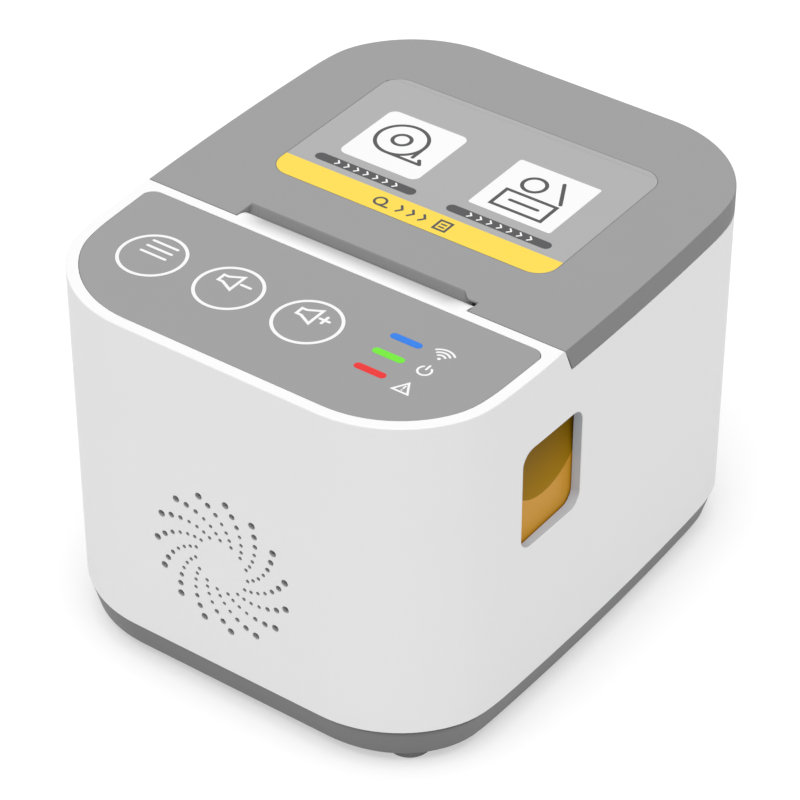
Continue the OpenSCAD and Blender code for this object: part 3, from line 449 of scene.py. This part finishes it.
# cover: rounded along the top and the band, with the slot's bevel in its front edge
cover = {"radius": 0.3, "edge": 1.0, "band": 0.5, "lip": 6.2, "front": -12, "back": 60, "closer": 0.2,
         "slotBack": 5.5, "slotHalf": 30.9, "topZone": 0.3, "outer": 2, "frontNear": 0.35, "upright": 0.8,
         "level": 0.9}
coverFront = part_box("cover_shell")[0].y / mm
slotY = coverFront + cover["slotBack"]


def coverEdges(at, edge):
    if at.z > topZ - cover["topZone"]:
        return 0.0 if abs(at.z - topZ) > flush else cover["edge"]
    highest = max(vert.co.z for vert in edge.verts) / mm
    shown = at.y < cover["front"] or outBy(at.x, at.y) > -cover["outer"] or at.y > cover["back"]
    return cover["band"] if highest > topZ - cover["lip"] and shown else 0.0


lid = roundedCopy("cover_shell", "paper_cover", cover["radius"], coverEdges, [coverAbs, coverSidePaintedShade])
for vert in lid.data.vertices:  # only a hairline shows between cover and rim
    if vert.co.z > (topZ - cover["lip"]) * mm and abs(vert.co.y / mm - coverFront) < cover["frontNear"]:
        vert.co.y -= cover["closer"] * mm
smoothWall(lid)
for face in lid.data.polygons:  # all but the top and the slot's end walls take the coarse grey with painted shade
    at = face.center / mm
    slotEnd = abs(face.normal.x) > cover["upright"] and at.y < slotY and abs(at.x) < cover["slotHalf"]
    if face.normal.z < cover["level"] and not slotEnd:
        face.material_index = 1
carry(lid, "cover", ["cover_shell"])

# tray: its tapered wall is told from the rest by its height and by its distance from the outline
tray = {"radius": 0.4, "top": 10.6, "foot": 2.8, "last": 1.01, "taper": 2.7, "near": 0.55, "stepIn": 0.75,
        "square": 0.6}


def trayDown(at):  # how far down the tapered outer wall a point lies, 1 at the foot; 0 away from the wall
    down = (tray["top"] - at.z) / (tray["top"] - tray["foot"])
    onWall = 0 < down < tray["last"] and outBy(at.x, at.y) > -tray["taper"] * down - tray["near"]
    return down if onWall else 0.0


def trayEdges(at, edge):
    return 1.0 if trayDown(at) else 0.0


def trayForm(at):  # the wall steps in under the seam, and its foot has squarer corners than the housing
    down = trayDown(at)
    if not down:
        return at
    out = -tray["stepIn"] * (1 - down)
    if abs(at.x) > cornerX and abs(at.y) > cornerY:
        turn = math.atan2(abs(at.y) - cornerY, abs(at.x) - cornerX)
        out += tray["square"] * down * math.sin(2 * turn) ** 2
    return at + outWay(at.x, at.y) * out


base = roundedCopy("base_tray", "base_tray_moulding", tray["radius"], trayEdges, [baseAbs], reshape=trayForm)
carry(base, "chassis", ["base_tray"])

# panel, keys and label are films: a fine edge, and a top that leaves room for the ink
film = {"radius": 0.08, "segments": 2, "ink": 0.04, "near": 0.1}
keys = (("key_settings", "settings_key", "menu"), ("key_volume_down", "volume_down_key", "quieter"),
        ("key_volume_up", "volume_up_key", "louder"))


def filmEdges(at, edge):
    return 1.0 if abs(at.z - topZ) < film["near"] else 0.0


films = [("control_panel", "panel_film", panelFilm, "chassis", "panel_grey")]
films += [(key, key + "_cap", panelFilm, body, "panel_grey") for key, body, mark in keys]
films += [("cover_label", "label_film", labelPet, "cover", "label_film")]
for node, name, material, body, slot in films:
    top = roundedCopy(node, name, film["radius"], filmEdges, [material], film["segments"], film["ink"])
    carry(top, body, [node])

# button: how far behind the plate's face its scoop lies, and how much the scoop faces outwards
button = {"dish": (0.005, 1.9), "facing": 0.5}


def buttonEdges(at, edge):  # the plate's edges stay sharp
    return 0.0


push = roundedCopy("release_button", "release_plate", 0, buttonEdges, [amberAbs, amberScoopShade])
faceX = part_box("release_button")[1].x
# the scoop's faces take the darker amber with its painted shade
for face in push.data.polygons:
    behind = faceX - face.center.x
    if face.normal.x > button["facing"] and button["dish"][0] * mm < behind < button["dish"][1] * mm:
        face.material_index = 1
carry(push, "release", ["release_button"])
print("mouldings ready")

finishes = (
    (("rubber_feet",), footRubber), (("platen_rubber",), rollerRubber),
    (("print_head", "led_chips"), alumina),
    (("motor_screws", "main_board_screws"), zincSteel),
    (("head_pin", "hinge_pin", "idler_pin", "latch_pin", "motor_shaft", "platen_shaft"), groundSteel),
    (("stepper_motor", "speaker_magnet", "usb_socket"), platedSteel), (("heat_sink",), extrudedAluminium),
    (("motor_pinion", "platen_bushes"), turnedBrass), (("idler_gear", "platen_gear"), gearPom),
    (("key_board", "main_board"), boardMask), (("board_chips", "key_switches", "paper_sensor"), chipEpoxy),
    (("capacitors",), sleevePvc), (("speaker_cone",), conePaper), (("paper_bin",), binAbs),
    (("speaker_frame", "mech_frame", "cover_inner", "latch_lever"), darkAbs),
    (("power_jack", "switch_housing", "switch_rocker"), blackPbt),
    (("light_pipe_network",), lightBlue), (("light_pipe_power",), lightGreen),
    (("light_pipe_status",), lightRed))
for names, material in finishes:
    for name in names:
        nodes[name].data.materials.clear()
        nodes[name].data.materials.append(material)

# springs become smooth wire copies; each entry holds joint, axis and shortest share
springs = {"release_spring": ("release_push", (1.0, 0.0, 0.0), 0.66),
           "head_springs": ("head_pivot", (0.0, 1.0, 0.0), 0.84)}
for name, (joint, axis, keep) in springs.items():
    form = mergedForm(name)
    for face in form.faces:
        face.smooth = True
    wire = carry(formPiece(name + "_wire", form, [springSteel]), "chassis", [name])
    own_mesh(wire)
print("inner parts finished")


def newTree(name, sizes):
    tree = bpy.data.node_groups.new(name, "GeometryNodeTree")
    tree.interface.new_socket("Geometry", in_out="INPUT", socket_type="NodeSocketGeometry")
    tree.interface.new_socket("Geometry", in_out="OUTPUT", socket_type="NodeSocketGeometry")
    for size in sizes:
        tree.interface.new_socket(size, in_out="INPUT", socket_type="NodeSocketFloat")
    return tree, addNode(tree, "NodeGroupInput").outputs


crispTurn = 0.6  # radians between two faces that meet in a crisp edge


def closeTree(tree, shape, material):  # instances become mesh, with crisp edges and one finish
    shape = addNode(tree, "GeometryNodeRealizeInstances", Geometry=shape)
    bend = addNode(tree, "GeometryNodeInputMeshEdgeAngle")
    crisp = addNode(tree, mathNode, {"operation": "GREATER_THAN"}, i0=bend.outputs[0], i1=crispTurn)
    shape = addNode(tree, "GeometryNodeSetShadeSmooth", {"domain": "FACE"}, Geometry=shape.outputs[0],
                    Shade_Smooth=True)
    shape = addNode(tree, "GeometryNodeSetShadeSmooth", {"domain": "EDGE"}, Geometry=shape.outputs[0],
                    Selection=crisp.outputs[0], Shade_Smooth=False)
    shape = addNode(tree, "GeometryNodeSetMaterial", Geometry=shape.outputs[0], Material=material)
    addNode(tree, "NodeGroupOutput", Geometry=shape.outputs[0])


def grow(name, tree, sizes, points):  # runs a tree on a few points
    mesh = bpy.data.meshes.new(name)
    mesh.from_pydata(points, [], [])
    piece = newPiece(name, mesh)
    maker = piece.modifiers.new("maker", "NODES")
    maker.node_group = tree
    for socket in tree.interface.items_tree:
        if socket.in_out == "INPUT" and socket.name in sizes:
            maker[socket.identifier] = sizes[socket.name]
    return settle(piece)


# cross-recess screw, head down: chamfered head, shank, and two crossed slots, as shares of the head's size
screwForm = {"crownTall": 0.35, "crownWide": 0.74, "slotLong": 1.25, "slotDeep": 1.2, "sides": 32}
screwSizes = ("Head Radius", "Head Height", "Shank Radius", "Length", "Slot Width")
screwTree, screwIn = newTree("crossScrew", screwSizes)
headR, headH = screwIn["Head Radius"], screwIn["Head Height"]
crownTall = addNode(screwTree, mathNode, times, i0=headH, i1=screwForm["crownTall"])
crownWide = addNode(screwTree, mathNode, times, i0=headR, i1=screwForm["crownWide"])
crown = addNode(screwTree, "GeometryNodeMeshCone", Vertices=screwForm["sides"], Radius_Top=headR,
                Radius_Bottom=crownWide.outputs[0], Depth=crownTall.outputs[0])
stack = [crown.outputs["Mesh"]]
for low, high, radius in ((crownTall.outputs[0], headH, headR),
                          (headH, screwIn["Length"], screwIn["Shank Radius"])):
    tall = addNode(screwTree, mathNode, minus, i0=high, i1=low)
    both = addNode(screwTree, mathNode, plus, i0=high, i1=low)
    middle = addNode(screwTree, mathNode, times, i0=both.outputs[0], i1=0.5)
    up = addNode(screwTree, "ShaderNodeCombineXYZ", Z=middle.outputs[0])
    rod = addNode(screwTree, "GeometryNodeMeshCylinder", Vertices=screwForm["sides"], Radius=radius,
                  Depth=tall.outputs[0])
    moved = addNode(screwTree, "GeometryNodeTransform", Geometry=rod.outputs["Mesh"],
                    Translation=up.outputs[0])
    stack.append(moved.outputs[0])
solid = addNode(screwTree, "GeometryNodeMeshBoolean", {"operation": "UNION"})
for part in stack:
    screwTree.links.new(part, solid.inputs["Mesh 2"])
reach = addNode(screwTree, mathNode, times, i0=headR, i1=screwForm["slotLong"])
slotDeep = addNode(screwTree, mathNode, times, i0=headH, i1=screwForm["slotDeep"])
cut = addNode(screwTree, "GeometryNodeMeshBoolean", {"operation": "DIFFERENCE"}, i0=solid.outputs["Mesh"])
for way in ("X", "Y"):
    size = addNode(screwTree, "ShaderNodeCombineXYZ", X=screwIn["Slot Width"], Y=screwIn["Slot Width"],
                   Z=slotDeep.outputs[0])
    screwTree.links.new(reach.outputs[0], size.inputs[way])
    slit = addNode(screwTree, "GeometryNodeMeshCube", Size=size.outputs[0])
    screwTree.links.new(slit.outputs["Mesh"], cut.inputs["Mesh 2"])
spread = addNode(screwTree, "GeometryNodeInstanceOnPoints", Points=screwIn["Geometry"],
                 Instance=cut.outputs["Mesh"])
closeTree(screwTree, spread.outputs[0], zincSteel)


def islands(node):  # lowest and highest corner of each loose part of a node
    form = mergedForm(node)
    left, found = set(form.verts), []
    while left:
        edgeOf, group = [left.pop()], []
        while edgeOf:
            vert = edgeOf.pop()
            group.append(vert.co.copy())
            for edge in vert.link_edges:
                other = edge.other_vert(vert)
                if other in left:
                    left.discard(other)
                    edgeOf.append(other)
        found.append([Vector([pick(co[k] for co in group) for k in range(3)]) for pick in (min, max)])
    form.free()
    return sorted(found, key=lambda pair: tuple(pair[0]))


# each group of screws: its body, head radius, head height and shank radius
screws = {"base_screws": ("chassis", 2.4, 1.4, 1.2), "cover_screws": ("cover", 1.9, 1.2, 0.8),
          "board_screws": ("chassis", 1.9, 1.2, 0.8), "mech_screws": ("chassis", 1.9, 1.2, 0.8)}
slotWidth = 0.55
for name, (body, headWide, headTall, shankWide) in screws.items():
    spots = [((low.x + high.x) / 2, (low.y + high.y) / 2, low.z) for low, high in islands(name)]
    sizes = {"Head Radius": headWide * mm, "Head Height": headTall * mm, "Shank Radius": shankWide * mm,
             "Length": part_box(name)[1].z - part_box(name)[0].z, "Slot Width": slotWidth * mm}
    carry(grow(name + "_cross", screwTree, sizes, spots), body, [name])

# sound holes: a rounded lip in each hole of the spiral, flush with the front
lipSizes = ("Arms", "Rows", "Inner", "Step", "Grow", "Start", "Lean", "Hole", "Even", "Swell", "Centre",
            "Lip", "Front")
lipTree, lipIn = newTree("soundHoleLips", lipSizes)
number = addNode(lipTree, "GeometryNodeInputIndex").outputs[0]
share = addNode(lipTree, mathNode, divide, i0=number, i1=lipIn["Rows"])
arm = addNode(lipTree, mathNode, {"operation": "FLOOR"}, i0=share.outputs[0])
row = addNode(lipTree, mathNode, {"operation": "MODULO"}, i0=number, i1=lipIn["Rows"])
pace = addNode(lipTree, mathNode, timesPlus, i0=row.outputs[0], i1=lipIn["Grow"], i2=lipIn["Step"])
far = addNode(lipTree, mathNode, timesPlus, i0=row.outputs[0], i1=pace.outputs[0], i2=lipIn["Inner"])
fan = addNode(lipTree, mathNode, divide, i0=360.0, i1=lipIn["Arms"])
armTurn = addNode(lipTree, mathNode, timesPlus, i0=arm.outputs[0], i1=fan.outputs[0], i2=lipIn["Start"])
turned = addNode(lipTree, mathNode, timesPlus, i0=row.outputs[0], i1=lipIn["Lean"], i2=armTurn.outputs[0])
angle = addNode(lipTree, mathNode, {"operation": "RADIANS"}, i0=turned.outputs[0])
across = addNode(lipTree, mathNode, {"operation": "COSINE"}, i0=angle.outputs[0])
upward = addNode(lipTree, mathNode, {"operation": "SINE"}, i0=angle.outputs[0])
late = addNode(lipTree, mathNode, minus, i0=row.outputs[0], i1=lipIn["Even"])  # the outer rows' holes grow
late = addNode(lipTree, mathNode, larger, i0=late.outputs[0], i1=0.0)
hole = addNode(lipTree, mathNode, timesPlus, i0=late.outputs[0], i1=lipIn["Swell"], i2=lipIn["Hole"])
spotX = addNode(lipTree, mathNode, times, i0=far.outputs[0], i1=across.outputs[0])
spotY = addNode(lipTree, mathNode, timesPlus, i0=hole.outputs[0], i1=lipIn["Lip"], i2=lipIn["Front"])
spotZ = addNode(lipTree, mathNode, timesPlus, i0=far.outputs[0], i1=upward.outputs[0], i2=lipIn["Centre"])
spot = addNode(lipTree, "ShaderNodeCombineXYZ", X=spotX.outputs[0], Y=spotY.outputs[0], Z=spotZ.outputs[0])
spot = addNode(lipTree, "ShaderNodeVectorMath", {"operation": "SCALE"}, Vector=spot.outputs[0], Scale=mm)
count = addNode(lipTree, mathNode, times, i0=lipIn["Arms"], i1=lipIn["Rows"])
dots = addNode(lipTree, "GeometryNodePoints", Count=count.outputs[0], Position=spot.outputs[0])
loop = addNode(lipTree, "GeometryNodeCurvePrimitiveCircle", Resolution=grille["loopSides"], Radius=1.0)
tube = addNode(lipTree, "GeometryNodeCurvePrimitiveCircle", Resolution=grille["tubeSides"],
               Radius=lipIn["Lip"])
lipForm = addNode(lipTree, "GeometryNodeCurveToMesh", Curve=loop.outputs[0], Profile_Curve=tube.outputs[0])
grown = addNode(lipTree, mathNode, times, i0=hole.outputs[0], i1=mm)
lips = addNode(lipTree, "GeometryNodeInstanceOnPoints", Points=dots.outputs[0], Instance=lipForm.outputs[0],
               Rotation=(math.pi / 2, 0, 0), Scale=grown.outputs[0])
closeTree(lipTree, lips.outputs[0], whiteAbs)
lipValues = {size: float(grille.get(size.lower(), frontY)) for size in lipSizes}
carry(grow("sound_hole_lips", lipTree, lipValues, []), "chassis")
print("screws and sound holes ready")

# prints lie just under the top, the second colour on the first, and each stroke a hair lower than the last
ink = {"low": topZ - 0.02, "high": topZ - 0.006, "thick": 0.03, "thin": 0.02, "drop": 0.0003}


def inkPiece(name, material, body, outlines, level, thick=ink["thick"], place=Matrix()):
    # thin print: each outline is one closed loop, or a pair of equal loops for a band
    form = bmesh.new()
    for outline in outlines:
        band = isinstance(outline, tuple)
        loops = outline if band else (outline,)
        tops, lows = [[[form.verts.new(place @ Vector((x, y, z)) * mm) for x, y in loop] for loop in loops]
                      for z in (level, level - thick)]
        count = len(tops[0])
        for i in range(count):
            j = (i + 1) % count
            if band:
                form.faces.new((tops[0][i], tops[0][j], tops[1][j], tops[1][i]))
                form.faces.new((lows[1][i], lows[1][j], lows[0][j], lows[0][i]))
            for top, low in zip(tops, lows):
                form.faces.new((top[j], top[i], low[i], low[j]))
        if not band:
            form.faces.new(tops[0])
            form.faces.new(lows[0][::-1])
        level -= ink["drop"]  # so that strokes may cross
    bmesh.ops.recalc_face_normals(form, faces=form.faces)
    return carry(formPiece(name, form, [material]), body)


def arc(cx, cy, r, a0, a1, count):
    turns = [math.radians(a0 + (a1 - a0) * i / count) for i in range(count + 1)]
    return [(cx + r * math.cos(turn), cy + r * math.sin(turn)) for turn in turns]


def disc(cx, cy, r, count=24):
    return arc(cx, cy, r, 0, 360, count)[:-1]


def ring(cx, cy, r0, r1, count=72):
    return disc(cx, cy, r1, count), disc(cx, cy, r0, count)


def bar(x0, y0, x1, y1, width, count=8):  # straight stroke with round ends
    turn = math.degrees(math.atan2(y1 - y0, x1 - x0))
    end = arc(x1, y1, width / 2, turn - 90, turn + 90, count)
    return end + arc(x0, y0, width / 2, turn + 90, turn + 270, count)


def sweep(cx, cy, r, a0, a1, width, count=20, ends=6):  # bent stroke with round ends
    end, start = arc(cx, cy, r, a1, a1, 1)[0], arc(cx, cy, r, a0, a0, 1)[0]
    return (arc(cx, cy, r + width / 2, a0, a1, count) + arc(*end, width / 2, a1, a1 + 180, ends)[1:-1]
            + arc(cx, cy, r - width / 2, a1, a0, count)
            + arc(*start, width / 2, a0 + 180, a0 + 360, ends)[1:-1])


def outlineOf(points, width, mitre=0.3):  # band along a closed polygon, with mitred corners
    outer, inner = [], []
    for i, here in enumerate(points):
        before, after = Vector(points[i - 1]), Vector(points[(i + 1) % len(points)])
        here = Vector(here)
        a, b = (here - before).normalized(), (after - here).normalized()
        side = Vector((a.y, -a.x)) + Vector((b.y, -b.x))
        side = side / max(side.dot(Vector((a.y, -a.x))), mitre)
        outer.append(tuple(here + side * width / 2))
        inner.append(tuple(here - side * width / 2))
    return outer, inner


def soft(x0, y0, x1, y1, r, count=8):  # rectangle with round corners
    return (arc(x1 - r, y0 + r, r, -90, 0, count) + arc(x1 - r, y1 - r, r, 0, 90, count)
            + arc(x0 + r, y1 - r, r, 90, 180, count) + arc(x0 + r, y0 + r, r, 180, 270, count))


def strokes(x, y, lines, width):  # straight strokes, placed from the middle of a sign
    return [bar(x + x0, y + y0, x + x1, y + y1, width) for x0, y0, x1, y1 in lines]


def frameOf(x0, y0, x1, y1, width):  # rectangle drawn as a line
    return outlineOf([(x0, y0), (x1, y0), (x1, y1), (x0, y1)], width)


# signs on the keys: a ring with three lines, or with a horn and a minus or plus
keyMarks = {"at": (-35.3, -14.7, 5.9), "y": frontY + 23.8, "ring": (7.08, 7.88), "line": 0.7,
            "horn": ((-3.8, 1.25), (-2.6, 1.25), (0.45, -0.3), (0.45, 5.0), (-2.6, 3.35), (-3.8, 3.35)),
            "menu": ((-3.3, 0.3, 3.2, 0.3), (-3.3, 2.5, 3.2, 2.5), (-3.3, 4.65, 3.2, 4.65)),
            "quieter": ((1.4, 2.5, 3.8, 2.5),),
            "louder": ((1.4, 2.5, 3.8, 2.5), (2.6, 3.0, 2.6, 3.7), (2.6, 1.3, 2.6, 2.0))}
y, w = keyMarks["y"], keyMarks["line"]
for x, (key, body, mark) in zip(keyMarks["at"], keys):
    shapes = [ring(x, y, *keyMarks["ring"])]
    if mark != "menu":
        shapes.append(outlineOf([(x + across, y + up) for across, up in keyMarks["horn"]], w))
    shapes += strokes(x, y, keyMarks[mark], w)
    inkPiece("mark_" + mark, inkWhite, body, shapes, ink["low"])

# the panel's film bridges the gap round each key
webs = {"inner": 7.93, "outer": 8.3, "under": 0.005, "thick": 0.25}
bridges = [ring(x, keyMarks["y"], webs["inner"], webs["outer"]) for x in keyMarks["at"]]
inkPiece("key_webs", panelFilm, "chassis", bridges, topZ - film["ink"] - webs["under"], webs["thick"])

# slot ends: the cover's top runs on over the right end, and the bevel runs out to the left wall
slotEnds = {"step": (25.8, 27.9, 30.75), "reach": 1.95, "lap": 0.35, "under": 0.002, "thick": 0.45,
            "bevel": (-28.35, 2.05), "profile": ((0.45, 0.7), (1.3, 2.0), (1.3, 2.3), (0.45, 2.3))}
x0, x1, x2 = slotEnds["step"]
y0, y1 = slotY - slotEnds["reach"], slotY + slotEnds["lap"]
stepForm = [(x0, y1), (x0, slotY), (x1, y0), (x2, y0), (x2, y1)]
inkPiece("cover_slot_step", coverAbs, "cover", [stepForm], topZ - slotEnds["under"], slotEnds["thick"])
sideways = Matrix(((0, 0, 1, 0), (1, 0, 0, 0), (0, 1, 0, 0), (0, 0, 0, 1)))
bevelForm = [(slotY - back, topZ - down) for back, down in slotEnds["profile"]]
inkPiece("cover_slot_bevel", coverSidePaintedShade, "cover", [bevelForm], *slotEnds["bevel"], sideways)

# windows of the three lights, and a common sign beside each
lamps = {"x": 26.3, "rows": (30.4, 24.2, 17.85), "long": 7.85, "wide": 1.95}
reach = (lamps["long"] - lamps["wide"]) / 2
lampNames, lampFinishes = ("network", "power", "state"), (lightBlue, lightGreen, lightRed)
for row, name, material in zip(lamps["rows"], lampNames, lampFinishes):
    pane = bar(lamps["x"] - reach, frontY + row, lamps["x"] + reach, frontY + row, lamps["wide"])
    inkPiece("lamp_window_" + name, material, "chassis", [pane], ink["low"])

lampMarks = {"x": 35.3, "rows": (30.4, 24.2, 17.0), "line": 0.5, "waves": (1.3, 2.3, 3.3), "fan": (45, 135),
             "waveFoot": 1.2, "waveDot": 0.4, "loop": (1.5, 130, 410), "stem": ((0, 0.5, 0, 2.0),),
             "triangle": ((-1.9, -1.4), (1.9, -1.4), (0, 1.9)), "dash": ((0, -0.15, 0, 0.7),),
             "dashLine": 0.4, "dot": (-0.8, 0.22)}
x, w = lampMarks["x"], lampMarks["line"]
yNet, yPower, yState = (frontY + row for row in lampMarks["rows"])
yFoot = yNet - lampMarks["waveFoot"]
waves = [sweep(x, yFoot, r, *lampMarks["fan"], w) for r in lampMarks["waves"]]
triangle = outlineOf([(x + across, yState + up) for across, up in lampMarks["triangle"]], w)
dotUp, dotWide = lampMarks["dot"]
signs = {
    "network": waves + [disc(x, yFoot, lampMarks["waveDot"], 16)],
    "power": [sweep(x, yPower, *lampMarks["loop"], w, 32)] + strokes(x, yPower, lampMarks["stem"], w),
    "state": [triangle] + strokes(x, yState, lampMarks["dash"], lampMarks["dashLine"])
    + [disc(x, yState + dotUp, dotWide, 12)]}
for name, shapes in signs.items():
    inkPiece("mark_" + name, inkWhite, "chassis", shapes, ink["low"])

# label: yellow stripe, two white squares with a roll and an open lid, two dark bars with feed arrows
labelPrint = {"half": 36.75, "front": 65.4, "stripe": 72.45, "corner": 5.0,
              "squares": ((-28.1, 79.7, -6.9, 100.7, 2.0), (6.9, 79.9, 28.3, 100.6, 0.6)),
              "barY": 75.8, "bars": ((-29.75, -5.45), (5.75, 30.05)), "barWide": 2.7,
              "arrows": (-17.6, 17.9), "arrowPitch": 2.6, "arrowForm": (0.7, 0.75), "arrowLine": 0.4}
half, r = labelPrint["half"], labelPrint["corner"]
y0, y1 = frontY + labelPrint["front"], frontY + labelPrint["stripe"]
stripe = (arc(half - r, y0 + r, r, -90, 0, 10) + [(half, y1), (-half, y1)]
          + arc(r - half, y0 + r, r, 180, 270, 10))
inkPiece("label_stripe", inkYellow, "cover", [stripe], ink["low"])
squares = [soft(left, frontY + near, right, frontY + far, turn)
           for left, near, right, far, turn in labelPrint["squares"]]
inkPiece("label_squares", inkWhite, "cover", squares, ink["low"])
yBar = frontY + labelPrint["barY"]
bars = [bar(left, yBar, right, yBar, labelPrint["barWide"]) for left, right in labelPrint["bars"]]
inkPiece("label_bars", inkDark, "cover", bars, ink["low"])

# pictures: a roll with its paper, and an open lid over a roll; strokes run from the middle of each
rollPicture = {"at": (-19.0, 91.5), "rings": ((5.6, 6.5, 72), (1.7, 2.6, 40)), "line": 0.9,
               "paper": ((0, -6.05, 9.0, -6.05), (9.0, -6.05, 8.0, -4.6), (6.05, 0, 6.05, -4.4))}
lidPicture = {"at": (17.6, 85.0), "case": (-6.5, -2.5, 6.5, 4.0), "lid": ((6.5, 5.4, 2.8, 12.6),),
              "roll": (-2.4, 8.6), "rollRing": (2.3, 3.2, 48), "slot": ((-3.6, 0.8, 3.6, 0.8),), "line": 0.9}
x, y, w = rollPicture["at"][0], frontY + rollPicture["at"][1], rollPicture["line"]
pictures = [ring(x, y, *sizes) for sizes in rollPicture["rings"]] + strokes(x, y, rollPicture["paper"], w)
x, y, w = lidPicture["at"][0], frontY + lidPicture["at"][1], lidPicture["line"]
left, near, right, far = lidPicture["case"]
pictures += [frameOf(x + left, y + near, x + right, y + far, w)] + strokes(x, y, lidPicture["lid"], w)
across, up = lidPicture["roll"]
pictures += [ring(x + across, y + up, *lidPicture["rollRing"])] + strokes(x, y, lidPicture["slot"], w)

# on the stripe: a small roll, three arrows and a slip, about the stripe's own middle
stripePicture = {"arrows": (-3.0, 0.0, 3.0), "start": -0.5, "tip": 0.9, "rise": 1.2, "line": 0.6,
                 "rollX": -8.4, "rollRing": (1.1, 1.7, 40), "paper": ((-8.4, -1.4, -5.9, -1.4),),
                 "slip": (6.6, 9.6, 1.7), "rows": ((7.5, 0.5, 8.7, 0.5), (7.5, -0.6, 8.7, -0.6)),
                 "rowLine": 0.5}
y, w = (y0 + y1) / 2, stripePicture["line"]
start, tip, rise = stripePicture["start"], stripePicture["tip"], stripePicture["rise"]
pictures += [bar(x + start, y + side * rise, x + start + tip, y, w)
             for x in stripePicture["arrows"] for side in (1, -1)]
left, right, tall = stripePicture["slip"]
pictures += [ring(stripePicture["rollX"], y, *stripePicture["rollRing"])]
pictures += strokes(0, y, stripePicture["paper"], w) + [frameOf(left, y - tall, right, y + tall, w)]
pictures += strokes(0, y, stripePicture["rows"], stripePicture["rowLine"])
inkPiece("label_pictures", inkDark, "cover", pictures, ink["high"], ink["thin"])

pitch, (tip, rise) = labelPrint["arrowPitch"], labelPrint["arrowForm"]
arrows = [bar(x + k * pitch, yBar + side * rise, x + k * pitch + tip, yBar, labelPrint["arrowLine"])
          for x in labelPrint["arrows"] for k in range(-3, 4) for side in (1, -1)]
inkPiece("label_arrows", inkWhite, "cover", arrows, ink["high"], ink["thin"])
print("prints ready")

# camera: long lens at the photograph's angle; focal length in pixels of the square frame
view = {"azimuth": 35.9042, "elevation": 37.0, "target": (37.08, -53.73, 92.04), "distance": 658.55,
        "focal": 3302.3, "frame": 800, "sensor": 36}
turn, rise = math.radians(view["azimuth"]), math.radians(view["elevation"])
back = Vector((math.sin(turn) * math.cos(rise), -math.cos(turn) * math.cos(rise), math.sin(rise)))
cameraData = bpy.data.cameras.new("camera")
cameraData.sensor_width = view["sensor"]
cameraData.lens = view["sensor"] * view["focal"] / view["frame"]
cameraData.clip_start, cameraData.clip_end = 0.05, 20
camera = newPiece("camera", cameraData)
camera.location = Vector(view["target"]) * mm + back * view["distance"] * mm
camera.rotation_mode = "QUATERNION"
camera.rotation_quaternion = (-back).to_track_quat("-Z", "Y")
bpy.context.scene.camera = camera


def seenRays(tree):  # 1 for what the camera sees, also in metal or through glass, and 0 for other light
    rays = addNode(tree, "ShaderNodeLightPath").outputs
    seen = addNode(tree, mathNode, larger, i0=rays["Is Camera Ray"], i1=rays["Is Glossy Ray"])
    return addNode(tree, mathNode, larger, i0=seen.outputs[0], i1=rays["Is Transmission Ray"]).outputs[0]


# studio: white floor, even sky, one wide soft lamp high up
studio = {"sky": 0.64, "lamp": 1.85, "lampFrom": (0.1, -0.22, 1.0), "lampWide": 50, "floor": "#E3E3E3",
          "pale": "#BCBCBC", "lift": 0.48, "reach": 9}
world = bpy.data.worlds.new("studio")
bpy.context.scene.world = world
world.use_nodes = True
tree = world.node_tree
tree.nodes.clear()
glow = addNode(tree, "ShaderNodeMapRange", Value=seenRays(tree), To_Min=studio["sky"], To_Max=1.0)
sky = addNode(tree, "ShaderNodeBackground", Color=(1, 1, 1, 1), Strength=glow.outputs[0])
addNode(tree, "ShaderNodeOutputWorld", Surface=sky.outputs[0])
lampData = bpy.data.lights.new("softbox", "SUN")
lampData.energy = studio["lamp"]
lampData.angle = math.radians(studio["lampWide"])
lamp = newPiece("softbox", lampData)
lamp.rotation_mode = "QUATERNION"
lamp.rotation_quaternion = (-Vector(studio["lampFrom"])).to_track_quat("-Z", "Y")
floorMesh = bpy.data.meshes.new("floor")
corners = [(x * studio["reach"], y * studio["reach"], 0) for x, y in ((-1, -1), (1, -1), (1, 1), (-1, 1))]
floorMesh.from_pydata(corners, [], [(0, 1, 2, 3)])
floor = newPiece("floor", floorMesh)
floorPaint, tree, shader, place = newMaterial("studio_floor")
seen = seenRays(tree)
glow = addNode(tree, "ShaderNodeMapRange", Value=seen, To_Min=0.0, To_Max=studio["lift"])
tree.links.new(glow.outputs[0], shader.inputs["Emission Strength"])
shader.inputs["Emission Color"].default_value = (1, 1, 1, 1)
# the camera sees a paler shadow than the floor casts back
paint = addNode(tree, "ShaderNodeMix", rgbMix, i0=seen, i6=linear(studio["floor"]), i7=linear(studio["pale"]))
tree.links.new(paint.outputs[2], shader.inputs["Base Color"])
shader.inputs["Roughness"].default_value = 0.9
shader.inputs["Specular IOR Level"].default_value = 0.0
floorMesh.materials.append(floorPaint)
bpy.context.scene.view_settings.view_transform = "Standard"
print("studio ready")
